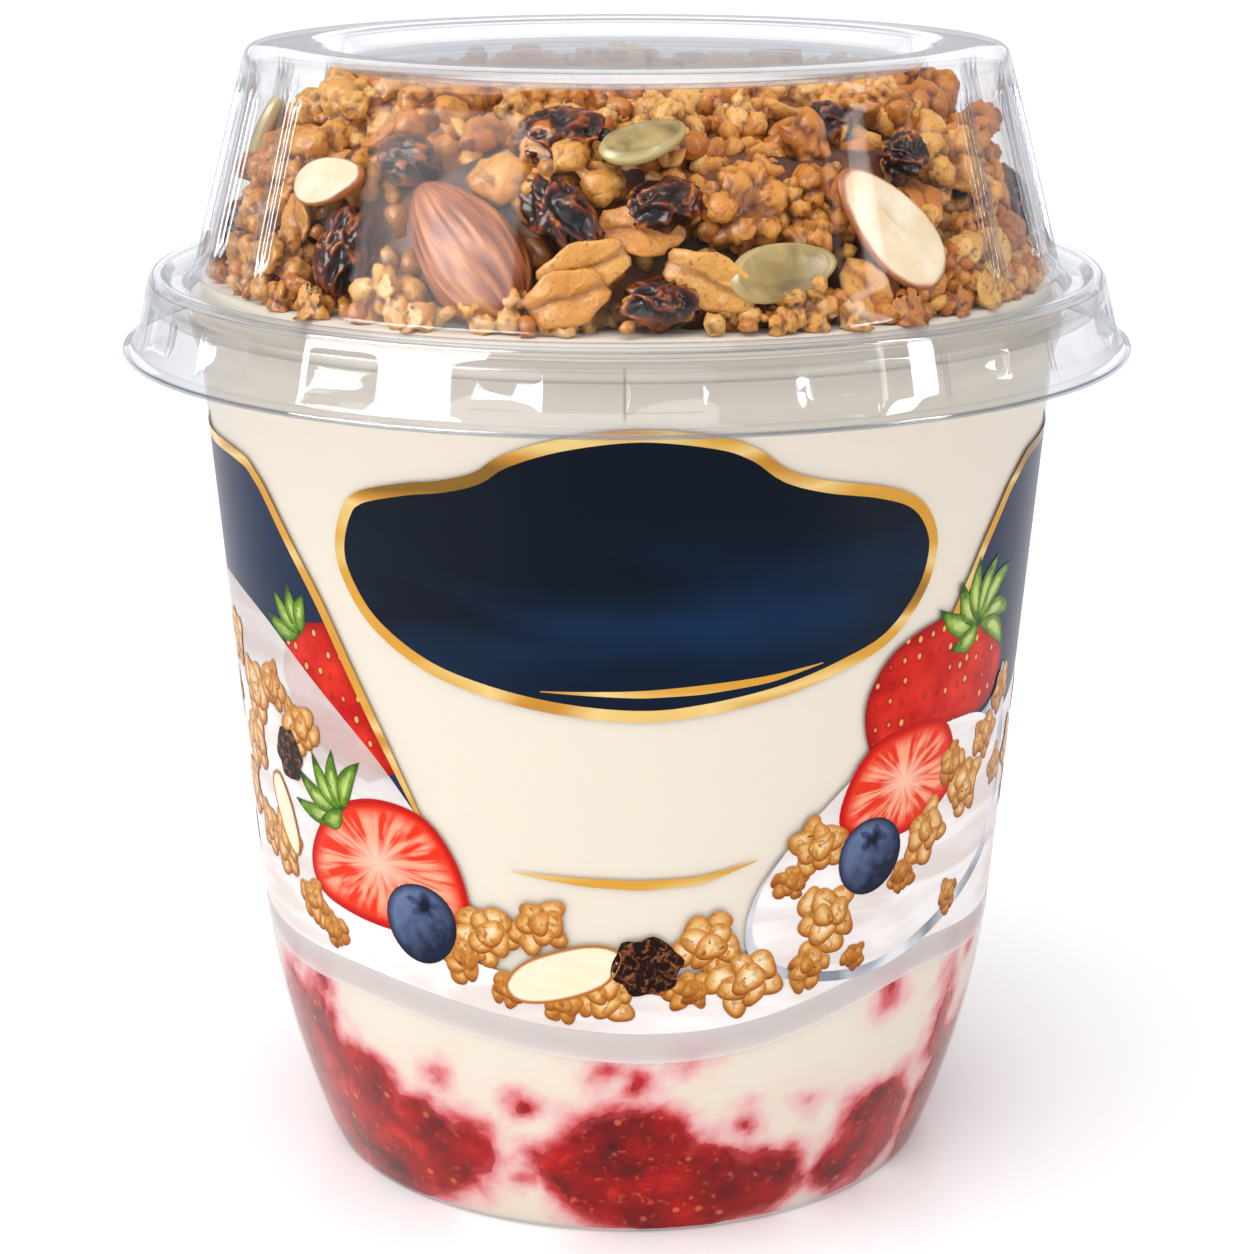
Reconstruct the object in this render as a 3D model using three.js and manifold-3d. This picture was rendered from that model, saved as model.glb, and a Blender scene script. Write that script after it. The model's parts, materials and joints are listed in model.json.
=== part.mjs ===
// Yogurt parfait: a clear plastic tub of yogurt with strawberry compote at its foot,
// under a clear domed lid that holds a heap of granola, fruit and nuts.
// Millimetres, +Z up. The origin is the centre of the circle that the tub stands on,
// and the front of the tub faces -Y. An azimuth of 0 is the front, and it grows towards +X.

import * as THREE from "three";
import { mergeVertices } from "three/addons/utils/BufferGeometryUtils.js";
import Module from "manifold-3d";

const wasm = await Module();
wasm.setup();

// ---- driving dimensions ----
const TOP_Z = 113.5;          // top of the lid's stacking ring
const BRIM_R = 50.5;          // the lid's brim, the widest circle
const BRIM_Z = 84.2;          // height of the brim's edge
const RIM_R = 47.2;           // edge of the tub's flange, a 95 mm rim with its play
const FLANGE_Z = 89.5;        // top of that flange
const SHOULDER_Z = 80;        // top of the tub's plain wall
const SHOULDER_R = 42.54;
const BOWL_Z = 26;            // below this the wall rounds in towards the foot
const BOWL_R = 38.07;
const FOOT_R = 31.6;
const TUB_WALL = 0.7;
const LID_WALL = 0.5;
const DOME_FOOT_R = 43.2;
const DOME_FOOT_Z = 91.8;
const DOME_TOP_R = 37.9;
const GAP = 0.3;              // air between pieces that touch
const YOGURT_Z = 90.9;        // the yogurt's level inside the dome's foot
const HEAP_TOP_Z = 109.9;     // top of the granola
const SEGMENTS = 36;          // facets round every turned piece
const DEG = Math.PI / 180;

// ---- helpers ----

// A closed geometry as a manifold solid, on shared vertices.
function solidOf(geometry) {
  const bare = geometry.clone();
  bare.deleteAttribute("normal");
  bare.deleteAttribute("uv");
  const welded = mergeVertices(bare, 1e-3);
  const index = welded.index.array;
  const kept = [];
  for (let i = 0; i < index.length; i += 3) {
    const [a, b, c] = [index[i], index[i + 1], index[i + 2]];
    if (a !== b && b !== c && c !== a) kept.push(a, b, c);
  }
  return new wasm.Manifold(new wasm.Mesh({
    numProp: 3,
    vertProperties: new Float32Array(welded.attributes.position.array),
    triVerts: new Uint32Array(kept),
  }));
}

// A manifold solid as a geometry.
function geometryOf(solid) {
  const mesh = solid.getMesh();
  const geometry = new THREE.BufferGeometry();
  geometry.setAttribute("position", new THREE.BufferAttribute(mesh.vertProperties, 3));
  geometry.setIndex(new THREE.BufferAttribute(mesh.triVerts, 1));
  geometry.computeVertexNormals();
  return geometry;
}

// A profile of [radius, height] pairs, listed from the axis at the foot round to the axis at the
// top, turned about Z.
function turned(profile) {
  const points = profile.map(([r, z]) => new THREE.Vector2(r, z));
  return new THREE.LatheGeometry(points, SEGMENTS).rotateX(Math.PI / 2);
}

// The same profile moved in by a wall's thickness. The profile runs outwards and then up, so its
// inner side is on the left; points on the axis stay on the axis.
function insetProfile(profile, wall) {
  return profile.map(([r, z], i) => {
    const [r0, z0] = profile[Math.max(i - 1, 0)];
    const [r1, z1] = profile[Math.min(i + 1, profile.length - 1)];
    const before = Math.atan2(z - z0, r - r0);
    const after = Math.atan2(z1 - z, r1 - r);
    const first = i === 0 ? after : before;
    const last = i === profile.length - 1 ? before : after;
    const turn = Math.atan2(Math.sin(last - first), Math.cos(last - first)) / 2;
    const reach = wall / Math.cos(turn);
    const heading = first + turn + Math.PI / 2;
    return [r === 0 ? 0 : r + reach * Math.cos(heading), z + reach * Math.sin(heading)];
  });
}

// Points of a quadratic curve from start to end, pulled towards control.
function curve(start, control, end, steps) {
  const bend = new THREE.QuadraticBezierCurve(
    new THREE.Vector2(...start), new THREE.Vector2(...control), new THREE.Vector2(...end));
  return bend.getPoints(steps).map((p) => [p.x, p.y]);
}

// A smooth value between -1 and 1 that wanders with place, for uneven surfaces.
function wander(x, y, z, seed) {
  const a = Math.sin(0.61 * x + 0.37 * z + 1.7 * seed);
  const b = Math.sin(0.53 * y - 0.42 * z + 2.9 * seed);
  const c = Math.sin(0.29 * (x + y) + 0.71 * z + 4.3 * seed);
  return (a + b + c) / 3;
}

// Moves every vertex of a geometry to where move(point) puts it.
function reshaped(geometry, move) {
  const position = geometry.attributes.position;
  const point = new THREE.Vector3();
  for (let i = 0; i < position.count; i++) {
    point.fromBufferAttribute(position, i);
    move(point);
    position.setXYZ(i, point.x, point.y, point.z);
  }
  return geometry;
}

// The point on a turned piece at an azimuth, a radius and a height.
function around(azimuth, radius, height) {
  return new THREE.Vector3(
    radius * Math.sin(azimuth * DEG), -radius * Math.cos(azimuth * DEG), height);
}

// ---- materials ----

function finish(name, color, roughness, extra = {}) {
  return new THREE.MeshStandardMaterial({ name, color, roughness, metalness: 0, ...extra });
}

const CLEAR = { transparent: true, opacity: 0.3 };
const materials = {
  tub: finish("clear polypropylene", 0xf3f1ea, 0.12, CLEAR),
  lid: finish("clear PET", 0xf2f5f6, 0.05, CLEAR),
  yogurt: finish("yogurt", 0xf5eddb, 0.35),
  compote: finish("strawberry compote", 0xb3161c, 0.25),
  granola: finish("baked granola", 0xc98b45, 0.7),
  raisin: finish("raisin", 0x2e1610, 0.5),
  almond: finish("almond skin", 0xa1602f, 0.6),
  almond_slice: finish("cut almond", 0xf0dbb0, 0.55),
  pumpkin_seed: finish("pumpkin seed", 0x8f8350, 0.4),
};

// ---- the tub ----

// The bowl-shaped stretch of the tub's outer wall, from the foot up to the plain taper.
const BOWL = curve([FOOT_R, 0], [36.95, 13.6], [BOWL_R, BOWL_Z], 4);
const PANEL_Z = 1.2;          // the base inside the foot ring is pushed up by this much
const PANEL_R = 27.5;
const FOOT_RING = 1.1;        // slope at each side of the foot ring's flat
const STACK_R = 43.4;         // the wall above the stacking shoulder
const STACK_Z = 82.3;
const NECK_R = 44;            // the wall just under the flange
const FLANGE_THICK = 1.5;
const FLANGE_ROUND = 0.4;

const TUB_WALL_PROFILE = [
  [0, PANEL_Z],
  [PANEL_R, PANEL_Z],
  [PANEL_R + FOOT_RING, 0],
  ...BOWL,
  [SHOULDER_R, SHOULDER_Z],
  [STACK_R, STACK_Z],
  [NECK_R, FLANGE_Z - FLANGE_THICK],
];
const TUB_INNER = insetProfile(TUB_WALL_PROFILE, TUB_WALL);

function tub() {
  const flange = [
    [RIM_R - FLANGE_ROUND, FLANGE_Z - FLANGE_THICK],
    [RIM_R, FLANGE_Z - FLANGE_THICK + FLANGE_ROUND],
    [RIM_R, FLANGE_Z],
  ];
  const mouth = [NECK_R - TUB_WALL, FLANGE_Z];
  const inner = TUB_INNER.slice(0, -1).reverse();
  return solidOf(turned([...TUB_WALL_PROFILE, ...flange, mouth, ...inner]));
}

// ---- the lid ----

const RECESS_R = 28.6;        // the top's sunk round panel
const RING_R = 29.9;          // inner edge of the raised stacking ring
const RECESS_DEEP = 1.7;
const CORNER = 1.6;           // rounding where the dome's wall meets its top
const LEDGE_Z = 90.3;         // the channel that rests on the tub's flange
const CROWN_Z = 91.6;         // top of the lid's outer shoulder
const CROWN_R = 46.8;
const SKIRT_R = 48.9;         // foot of the skirt, before it flares into the brim
const SKIRT_Z = 86;

const LID_OUTER = [
  [BRIM_R, BRIM_Z],
  [BRIM_R - 1, BRIM_Z + 0.5],
  [SKIRT_R, SKIRT_Z],
  [47.8, CROWN_Z - 0.8],
  [CROWN_R, CROWN_Z],
  [CROWN_R - 0.6, CROWN_Z - 0.2],
  [45.5, LEDGE_Z],
  [44.3, LEDGE_Z],
  [DOME_FOOT_R, DOME_FOOT_Z],
  [DOME_TOP_R, TOP_Z - CORNER],
  [DOME_TOP_R - 0.5, TOP_Z - 0.45],
  [DOME_TOP_R - CORNER, TOP_Z],
  [RING_R, TOP_Z],
  [RECESS_R, TOP_Z - RECESS_DEEP],
  [0, TOP_Z - RECESS_DEEP],
];

const RIB_AZIMUTHS = [55, 69, 83, 97, 111, 125];
const RIB_WIDE = 1.2;
const RIB_PROUD = 0.5;
const SNAPS = 18;             // snap lugs that grip under the tub's flange
const SNAP = { wide: 7, high: 2.2, deep: 1.4, z: 86.5, r: 47.7 };

function lid() {
  const inner = insetProfile(LID_OUTER, LID_WALL).reverse();
  let body = solidOf(turned([...LID_OUTER, ...inner, LID_OUTER[0]]));
  const slope = Math.atan2(DOME_FOOT_R - DOME_TOP_R, TOP_Z - CORNER - DOME_FOOT_Z);
  const length = (TOP_Z - CORNER - DOME_FOOT_Z) * 0.84;
  const middle = (DOME_FOOT_R + DOME_TOP_R) / 2;
  const height = (TOP_Z - CORNER + DOME_FOOT_Z) / 2;
  for (const side of [-1, 1]) {
    for (const azimuth of RIB_AZIMUTHS) {
      const rib = new THREE.BoxGeometry(RIB_WIDE, 2 * RIB_PROUD, length)
        .rotateX(-slope)
        .translate(0, -middle * Math.cos(DEG), height)
        .rotateZ(side * azimuth * DEG);
      body = body.add(solidOf(rib));
    }
  }
  for (let i = 0; i < SNAPS; i++) {
    const lug = new THREE.BoxGeometry(SNAP.wide, SNAP.deep, SNAP.high)
      .translate(0, -SNAP.r, SNAP.z)
      .rotateZ((i + 0.5) * (360 / SNAPS) * DEG);
    body = body.add(solidOf(lug));
  }
  return body;
}

// ---- yogurt and compote ----

// Lumps of compote that rise against the wall: azimuth, half width and top.
const LUMPS = [
  { azimuth: -60, spread: 19, top: 21 },
  { azimuth: -40, spread: 16, top: 15.5 },
  { azimuth: 0, spread: 13, top: 15.5 },
  { azimuth: 17, spread: 15, top: 11 },
  { azimuth: 46, spread: 9, top: 13 },
  { azimuth: 62, spread: 6, top: 17 },
  { azimuth: 92, spread: 20, top: 17 },
  { azimuth: 132, spread: 15, top: 13 },
  { azimuth: 178, spread: 22, top: 18 },
  { azimuth: 222, spread: 14, top: 12 },
  { azimuth: 262, spread: 22, top: 19 },
];
const POOL_Z = 5;             // height of the compote in the middle of the floor
const BARE_Z = -3;            // between lumps the compote is under the floor, so none is there

const BELOW_Z = -8;           // depth and width of the block that the compote is cut from
const WIDE_R = 46;

// Height of the compote over a point of the floor, with its lumps made wider by some degrees.
function compoteHeight(x, y, wider) {
  const azimuth = Math.atan2(x, -y) / DEG;
  let wall = BARE_Z;
  for (const lump of LUMPS) {
    const off = Math.abs(((azimuth - lump.azimuth + 540) % 360) - 180);
    const away = off / (lump.spread + wider);
    const rise = Math.sqrt(Math.max(0, 1 - away * away));
    wall = Math.max(wall, BARE_Z + (lump.top - BARE_Z) * rise);
  }
  const out = THREE.MathUtils.smoothstep(Math.hypot(x, y), 14, 32);
  return POOL_Z + (wall - POOL_Z) * out;
}

// Everything below the compote's surface, with a clearance over it and beside its lumps.
function belowCompote(clearance) {
  const rings = [37, 33, 28, 21, 12, 0];
  const block = turned([[0, BELOW_Z], [WIDE_R, BELOW_Z], [WIDE_R, 0], ...rings.map((r) => [r, 0])]);
  return solidOf(reshaped(block, (p) => {
    if (p.z > -1) p.z = compoteHeight(p.x, p.y, 4 * clearance) + clearance;
  }));
}

function tubFilling() {
  const side = insetProfile(TUB_WALL_PROFILE, TUB_WALL + GAP);
  const brim = NECK_R - TUB_WALL - GAP;
  const ledge = LEDGE_Z - LID_WALL - 0.4;
  const mouth = DOME_FOOT_R - LID_WALL - 0.35;
  const profile = [
    ...side.slice(0, -1),
    [brim, ledge],
    [mouth, ledge],
    [mouth, YOGURT_Z],
    [0, YOGURT_Z],
  ];
  return solidOf(turned(profile));
}

// ---- the granola heap and what lies in it ----

// Outline of the heap, from its foot against the dome up to the crown.
const HEAP = [
  [0, YOGURT_Z + GAP],
  [41.9, YOGURT_Z + GAP],
  [40.9, 94.5],
  [39.8, 98],
  [38.6, 101.5],
  [37, 104.6],
  [34.6, 107.2],
  [30.8, 108.9],
  [22, 109.5],
  [0, HEAP_TOP_Z],
];
const HEAP_UNEVEN = 0.5;

function heap() {
  return solidOf(reshaped(turned(HEAP), (p) => {
    if (p.z < YOGURT_Z + 1) return;
    const bump = HEAP_UNEVEN * wander(p.x, p.y, p.z, 1);
    const radius = Math.hypot(p.x, p.y);
    const out = Math.min(radius / 30, 1);
    p.x *= 1 + (bump * out) / Math.max(radius, 1);
    p.y *= 1 + (bump * out) / Math.max(radius, 1);
    p.z += bump * (1 - 0.6 * out);
  }));
}

// Radius and outward tilt of the heap's surface at a height.
function heapAt(height) {
  for (let i = 2; i < HEAP.length; i++) {
    const [r0, z0] = HEAP[i - 1];
    const [r1, z1] = HEAP[i];
    if (height <= z1 || i === HEAP.length - 1) {
      const t = (height - z0) / (z1 - z0);
      return { radius: r0 + (r1 - r0) * t, tilt: Math.atan2(r0 - r1, z1 - z0) };
    }
  }
}

// Shapes of one unit length, width and depth, whose long axis is X and whose face is +Z.
const shapes = {
  // A wrinkled, slightly flattened berry.
  raisin(p) {
    const wrinkle = 1 + 0.09 * Math.sin(5 * Math.atan2(p.y, p.z) + 4 * p.x) * (1 - p.x * p.x);
    p.multiplyScalar(wrinkle / 2);
  },
  // A drop, pointed at +X, with a flatter belly.
  drop(p) {
    const width = 1 - 0.32 * Math.max(p.x, 0) ** 2 - 0.1 * p.x;
    p.set(p.x, p.y * width, p.z * width).multiplyScalar(0.5);
  },
  // The same outline as a thin plate with square edges.
  slice(p) {
    const width = 1 - 0.3 * Math.max(p.x, 0) ** 2 - 0.08 * p.x;
    p.set(p.x, p.y * width, Math.cbrt(p.z)).multiplyScalar(0.5);
  },
};

// What lies in the heap: where its middle is (azimuth and height on the heap's surface), how far
// below the surface, its size, and how its long axis turns from level.
const TOPPINGS = [
  { name: "almond_1", shape: "drop", azimuth: -22, z: 98.2, sink: 2.8, size: [16.5, 9.6, 7], roll: -46 },
  { name: "almond_2", shape: "drop", azimuth: 163, z: 100.5, sink: 2.6, size: [16, 9.4, 7], roll: 38 },
  { name: "almond_slice_1", shape: "slice", azimuth: 37.5, z: 99.3, sink: 0.4, size: [15, 8.2, 1.3], roll: -48 },
  { name: "almond_slice_2", shape: "slice", azimuth: -46, z: 103, sink: 0.1, size: [9.6, 5, 1.2], roll: 12 },
  { name: "almond_slice_3", shape: "slice", azimuth: -118, z: 98.5, sink: 0.5, size: [14, 8, 1.3], roll: 35 },
  { name: "almond_slice_4", shape: "slice", azimuth: 128, z: 98.6, sink: 0.4, size: [14, 8, 1.3], roll: -70 },
  { name: "pumpkin_seed_1", shape: "drop", azimuth: 20.5, z: 96.5, sink: 0.7, size: [11, 5.6, 2.6], roll: 8 },
  { name: "pumpkin_seed_2", shape: "drop", azimuth: 2.6, z: 107.6, sink: 0.2, size: [9.5, 5.2, 2.2], roll: 34 },
  { name: "pumpkin_seed_3", shape: "drop", azimuth: -98, z: 104, sink: 0.6, size: [10.5, 5.4, 2.4], roll: 60 },
  { name: "pumpkin_seed_4", shape: "drop", azimuth: -172, z: 95.5, sink: 0.7, size: [10.5, 5.4, 2.4], roll: -20 },
  { name: "raisin_1", shape: "raisin", azimuth: -10.5, z: 108.6, sink: 1.8, size: [10.5, 7.6, 6.2], roll: 4 },
  { name: "raisin_2", shape: "raisin", azimuth: 45, z: 109.2, sink: 2.4, size: [7.6, 6, 5.4], roll: 10 },
  { name: "raisin_3", shape: "raisin", azimuth: -36, z: 106.3, sink: 2.2, size: [8, 5.4, 4.8], roll: -6 },
  { name: "raisin_4", shape: "raisin", azimuth: -42.5, z: 97.3, sink: 2, size: [9.6, 6.2, 5.2], roll: 80 },
  { name: "raisin_5", shape: "raisin", azimuth: -9.2, z: 101.8, sink: 2, size: [10.8, 6.4, 5.4], roll: -46 },
  { name: "raisin_6", shape: "raisin", azimuth: 5.2, z: 102.9, sink: 2.1, size: [8, 5.6, 5], roll: 12 },
  { name: "raisin_7", shape: "raisin", azimuth: 4.2, z: 94.2, sink: 2.1, size: [8.6, 5.4, 5], roll: 2 },
  { name: "raisin_8", shape: "raisin", azimuth: 48.5, z: 106, sink: 1.9, size: [6, 5, 4.4], roll: 30 },
  { name: "raisin_9", shape: "raisin", azimuth: 88, z: 98, sink: 2, size: [9.4, 6.4, 5.4], roll: 70 },
  { name: "raisin_10", shape: "raisin", azimuth: 112, z: 105.4, sink: 2, size: [9, 6.2, 5.2], roll: -30 },
  { name: "raisin_11", shape: "raisin", azimuth: -148, z: 103.4, sink: 2, size: [9.8, 6.6, 5.4], roll: 20 },
  { name: "raisin_12", shape: "raisin", azimuth: -80, z: 96, sink: 2, size: [9, 6, 5.2], roll: -35 },
];

// One topping, grown by clearance on every side.
function topping({ shape, azimuth, z, sink, size, roll }, clearance) {
  const { radius, tilt } = heapAt(z);
  const [length, width, depth] = size.map((side) => side + 2 * clearance);
  const piece = reshaped(new THREE.SphereGeometry(1, 8, 5).rotateX(Math.PI / 2), shapes[shape]);
  const surface = radius - sink * Math.cos(tilt);
  const seat = around(azimuth, surface, z - sink * Math.sin(tilt));
  piece.scale(length, width, depth)
    .rotateZ(roll * DEG)
    .rotateX(Math.PI / 2 - tilt)
    .rotateZ(azimuth * DEG)
    .translate(seat.x, seat.y, seat.z);
  return solidOf(piece);
}

// ---- the whole ----

const group = new THREE.Group();

function addPiece(name, solid, material) {
  const mesh = new THREE.Mesh(geometryOf(solid), material);
  mesh.name = name;
  group.add(mesh);
}

const interior = tubFilling();
addPiece("tub", tub(), materials.tub);
addPiece("dome_lid", lid(), materials.lid);
addPiece("compote", interior.intersect(belowCompote(0)), materials.compote);
addPiece("yogurt", interior.subtract(belowCompote(GAP)), materials.yogurt);

let granola = heap();
for (const item of TOPPINGS) {
  const kind = item.name.replace(/_\d+$/, "");
  addPiece(item.name, topping(item, 0), materials[kind]);
  granola = granola.subtract(topping(item, GAP));
}
addPiece("granola", granola, materials.granola);

export default group;
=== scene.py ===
# %% [markdown]
# # A yogurt parfait in a clear tub
# A clear tub is filled with yogurt over strawberry compote, and a clear domed lid holds a heap of
# granola on top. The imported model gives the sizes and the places. This file builds the finer
# surfaces around it: the thin plastic, the printed wall, the fruit and several kinds of oat piece.

# %% The frame
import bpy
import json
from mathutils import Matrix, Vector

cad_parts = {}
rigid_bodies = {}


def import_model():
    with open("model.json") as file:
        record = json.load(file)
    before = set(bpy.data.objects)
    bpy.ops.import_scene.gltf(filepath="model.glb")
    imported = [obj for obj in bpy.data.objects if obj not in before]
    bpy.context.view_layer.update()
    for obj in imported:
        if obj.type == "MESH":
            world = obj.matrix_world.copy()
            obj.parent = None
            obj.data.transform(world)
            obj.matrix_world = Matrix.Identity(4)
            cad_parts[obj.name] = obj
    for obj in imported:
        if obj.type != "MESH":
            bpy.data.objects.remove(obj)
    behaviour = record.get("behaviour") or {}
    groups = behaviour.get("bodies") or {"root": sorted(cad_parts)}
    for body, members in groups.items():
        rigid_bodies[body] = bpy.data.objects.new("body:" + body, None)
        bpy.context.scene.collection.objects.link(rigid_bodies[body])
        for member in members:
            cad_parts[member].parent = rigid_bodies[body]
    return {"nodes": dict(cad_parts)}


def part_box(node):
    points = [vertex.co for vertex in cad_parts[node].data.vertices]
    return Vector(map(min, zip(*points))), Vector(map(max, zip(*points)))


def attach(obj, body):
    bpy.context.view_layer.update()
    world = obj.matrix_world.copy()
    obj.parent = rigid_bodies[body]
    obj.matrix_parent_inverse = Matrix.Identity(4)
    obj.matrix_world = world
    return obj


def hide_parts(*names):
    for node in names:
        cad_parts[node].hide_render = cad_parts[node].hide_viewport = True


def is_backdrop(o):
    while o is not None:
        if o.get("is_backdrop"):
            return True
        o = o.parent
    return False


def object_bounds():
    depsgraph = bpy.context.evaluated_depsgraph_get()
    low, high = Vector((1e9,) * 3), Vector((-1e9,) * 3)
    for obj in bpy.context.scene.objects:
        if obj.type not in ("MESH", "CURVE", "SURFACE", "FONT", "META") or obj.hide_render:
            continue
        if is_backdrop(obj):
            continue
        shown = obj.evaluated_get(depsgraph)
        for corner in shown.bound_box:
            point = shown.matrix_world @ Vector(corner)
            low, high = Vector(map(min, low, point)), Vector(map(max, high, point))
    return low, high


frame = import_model()
cad_bounds = [list(corner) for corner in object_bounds()]

import json
import math

import bmesh
import bpy
import numpy as np
from mathutils import Matrix, Vector, geometry, noise

MM = 0.001
scene = bpy.context.scene
print("CAD nodes:", len(frame["nodes"]), "box:", cad_bounds)

# %% [markdown]
# Sizes come from the frame: the lid's box gives the brim and the top, and the tub's box gives the
# rim. The other radii are shares of the real part, in millimetres, as a mould maker would list them.

# %% Sizes
lid_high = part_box("dome_lid")[1]
tub_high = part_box("tub")[1]
yogurt_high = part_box("yogurt")[1]
BRIM_R = lid_high.x / MM
TOP_Z = lid_high.z / MM
RIM_R = tub_high.x / MM
FLANGE_Z = tub_high.z / MM
YOGURT_Z = yogurt_high.z / MM
TUB_WALL = 0.7
LID_WALL = 0.45
print(f"brim {2 * BRIM_R:.1f} mm, height {TOP_Z:.1f} mm, rim {2 * RIM_R:.1f} mm")

# %% [markdown]
# One function turns an sRGB hex code into the linear numbers that shaders use, and one adds a node
# with its settings and links. Every material and every Geometry Nodes tree is built with it. What
# feeds a socket may be a number, a hex colour, a node or one of its sockets, so that a material
# reads as a list of named steps.

# %% Helpers for nodes
def colour(code):
    """An sRGB hex code as linear red, green, blue and alpha."""
    parts = [int(code[i:i + 2], 16) / 255 for i in (1, 3, 5)]
    return [p / 12.92 if p <= 0.04045 else ((p + 0.055) / 1.055) ** 2.4 for p in parts] + [1.0]


def add(tree, kind, inputs=None, stops=None, **settings):
    """Adds a node. inputs says what feeds each socket, and stops fills a colour ramp.
    A kind without Node in it is a shader node. A node feeds by its Fac output, or by its first."""
    made = tree.nodes.new(kind if "Node" in kind else "ShaderNode" + kind)
    for name, value in settings.items():
        setattr(made, name, value)
    for key, value in (inputs or {}).items():
        if isinstance(value, bpy.types.Node):
            value = value.outputs.get("Fac") or next(out for out in value.outputs if out.enabled)
        if isinstance(value, bpy.types.NodeSocket):
            tree.links.new(value, made.inputs[key])
        elif isinstance(value, str) and value.startswith("#"):
            made.inputs[key].default_value = colour(value)
        else:
            made.inputs[key].default_value = value
    for i, (place, code) in enumerate(stops or []):
        elements = made.color_ramp.elements
        stop = elements[i] if i < 2 else elements.new(place)
        stop.position = place
        stop.color = colour(code)
    return made


def new_material(name):
    """A material with its Principled shader, and the tree to add to."""
    material = bpy.data.materials.new(name)
    material.use_nodes = True
    tree = material.node_tree
    return material, tree, tree.nodes["Principled BSDF"]


print("helpers: colour, add, new_material")

# %% [markdown]
# Most of the pack is turned: a profile of radius and height goes round the upright axis. A lathe
# in code, rather than a Screw modifier, lets the wall move in and out with the azimuth, for ribs
# and snaps. Azimuth 0 is the front, -Y, and it grows towards +X.

# %% Helpers for meshes
def mesh_piece(name, points, faces, material):
    """A smooth mesh object from points in millimetres."""
    mesh = bpy.data.meshes.new(name)
    mesh.from_pydata((np.asarray(points, float) * MM).tolist(), [], faces)
    mesh.validate()
    mesh.shade_smooth()
    mesh.materials.append(material)
    piece = bpy.data.objects.new(name, mesh)
    scene.collection.objects.link(piece)
    return piece


def keep(piece, slot, *nodes):
    """Fixes a piece to the body, and hides the CAD nodes that it stands for. slot is not used."""
    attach(piece, "root")
    if nodes:
        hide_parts(*nodes)
    print(piece.name, sum(len(face.vertices) - 2 for face in piece.data.polygons), "triangles")
    return piece


def rounded(corners, steps=4):
    """A profile through corners (radius, height, rounding), each rounding a short curve."""
    points = []
    for i, (r, z, size) in enumerate(corners):
        here = Vector((r, z))
        if size == 0 or i in (0, len(corners) - 1):
            points.append(here)
            continue
        back = Vector(corners[i - 1][:2]) - here
        on = Vector(corners[i + 1][:2]) - here
        half = back.angle(on) / 2
        reach = min(size / math.tan(half), 0.48 * back.length, 0.48 * on.length)
        start, end = here + back.normalized() * reach, here + on.normalized() * reach
        for k in range(steps + 1):
            t = k / steps
            points.append(start * (1 - t) ** 2 + here * 2 * t * (1 - t) + end * t * t)
    return [(p.x, p.y) for p in points]


def spaced(profile, step, low, high):
    """The profile with extra points where it climbs between two heights."""
    points = [profile[0]]
    for (r0, z0), (r1, z1) in zip(profile, profile[1:]):
        inside = low <= min(z0, z1) and max(z0, z1) <= high
        count = max(1, round(math.hypot(r1 - r0, z1 - z0) / step)) if inside else 1
        points += [(r0 + (r1 - r0) * k / count, z0 + (z1 - z0) * k / count)
                   for k in range(1, count + 1)]
    return points


def inset(profile, wall):
    """The profile moved to its left side by a wall's thickness."""
    p = np.array(profile)
    along = np.diff(p, axis=0)
    along /= np.linalg.norm(along, axis=1)[:, None]
    before = np.vstack([along[:1], along])
    after = np.vstack([along, along[-1:]])
    mean = before + after
    mean /= np.linalg.norm(mean, axis=1)[:, None]
    reach = wall / np.clip((mean * after).sum(1), 0.5, 1)
    moved = p + np.stack([-mean[:, 1], mean[:, 0]], 1) * reach[:, None]
    moved[p[:, 0] == 0, 0] = 0
    moved[:, 0] = np.maximum(moved[:, 0], 0)
    return [tuple(q) for q in moved]


def lathe(profile, azimuths, relief=None):
    """Points and faces of a turned piece. relief(azimuth, radius, height) gives new radii."""
    r = np.array([p[0] for p in profile])[:, None] + 0 * azimuths[None, :]
    z = np.array([p[1] for p in profile])[:, None] + 0 * azimuths[None, :]
    if relief is not None:
        r, z = relief(azimuths[None, :] + 0 * r, r, z)
    turn = np.radians(azimuths)[None, :]
    rows = np.stack([r * np.sin(turn), -r * np.cos(turn), z], -1)
    points, index, faces = [], [], []
    for i, (radius, _) in enumerate(profile):
        count = 1 if radius < 1e-6 else len(azimuths)
        index.append((len(points), count))
        points += rows[i, :count].tolist()
    pairs = list(zip(index, index[1:]))
    if profile[0][0] > 1e-6:
        pairs.append((index[-1], index[0]))
    n = len(azimuths)
    for (a, count_a), (b, count_b) in pairs:
        for k in range(n):
            j = (k + 1) % n
            if count_a > 1 and count_b > 1:
                faces.append((a + k, a + j, b + j, b + k))
            elif count_a > 1:
                faces.append((a + k, a + j, b))
            elif count_b > 1:
                faces.append((a, b + j, b + k))
    return points, faces


def smoothstep(low, high, value):
    t = np.clip((value - low) / (high - low), 0, 1)
    return t * t * (3 - 2 * t)


EVEN = np.linspace(0, 360, 240, endpoint=False)

# %% [markdown]
# The camera stands at the height from which such a pack is pictured, about 15 degrees above it,
# and near enough that the lid shows its round top. The floor is plain and pale.

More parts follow.
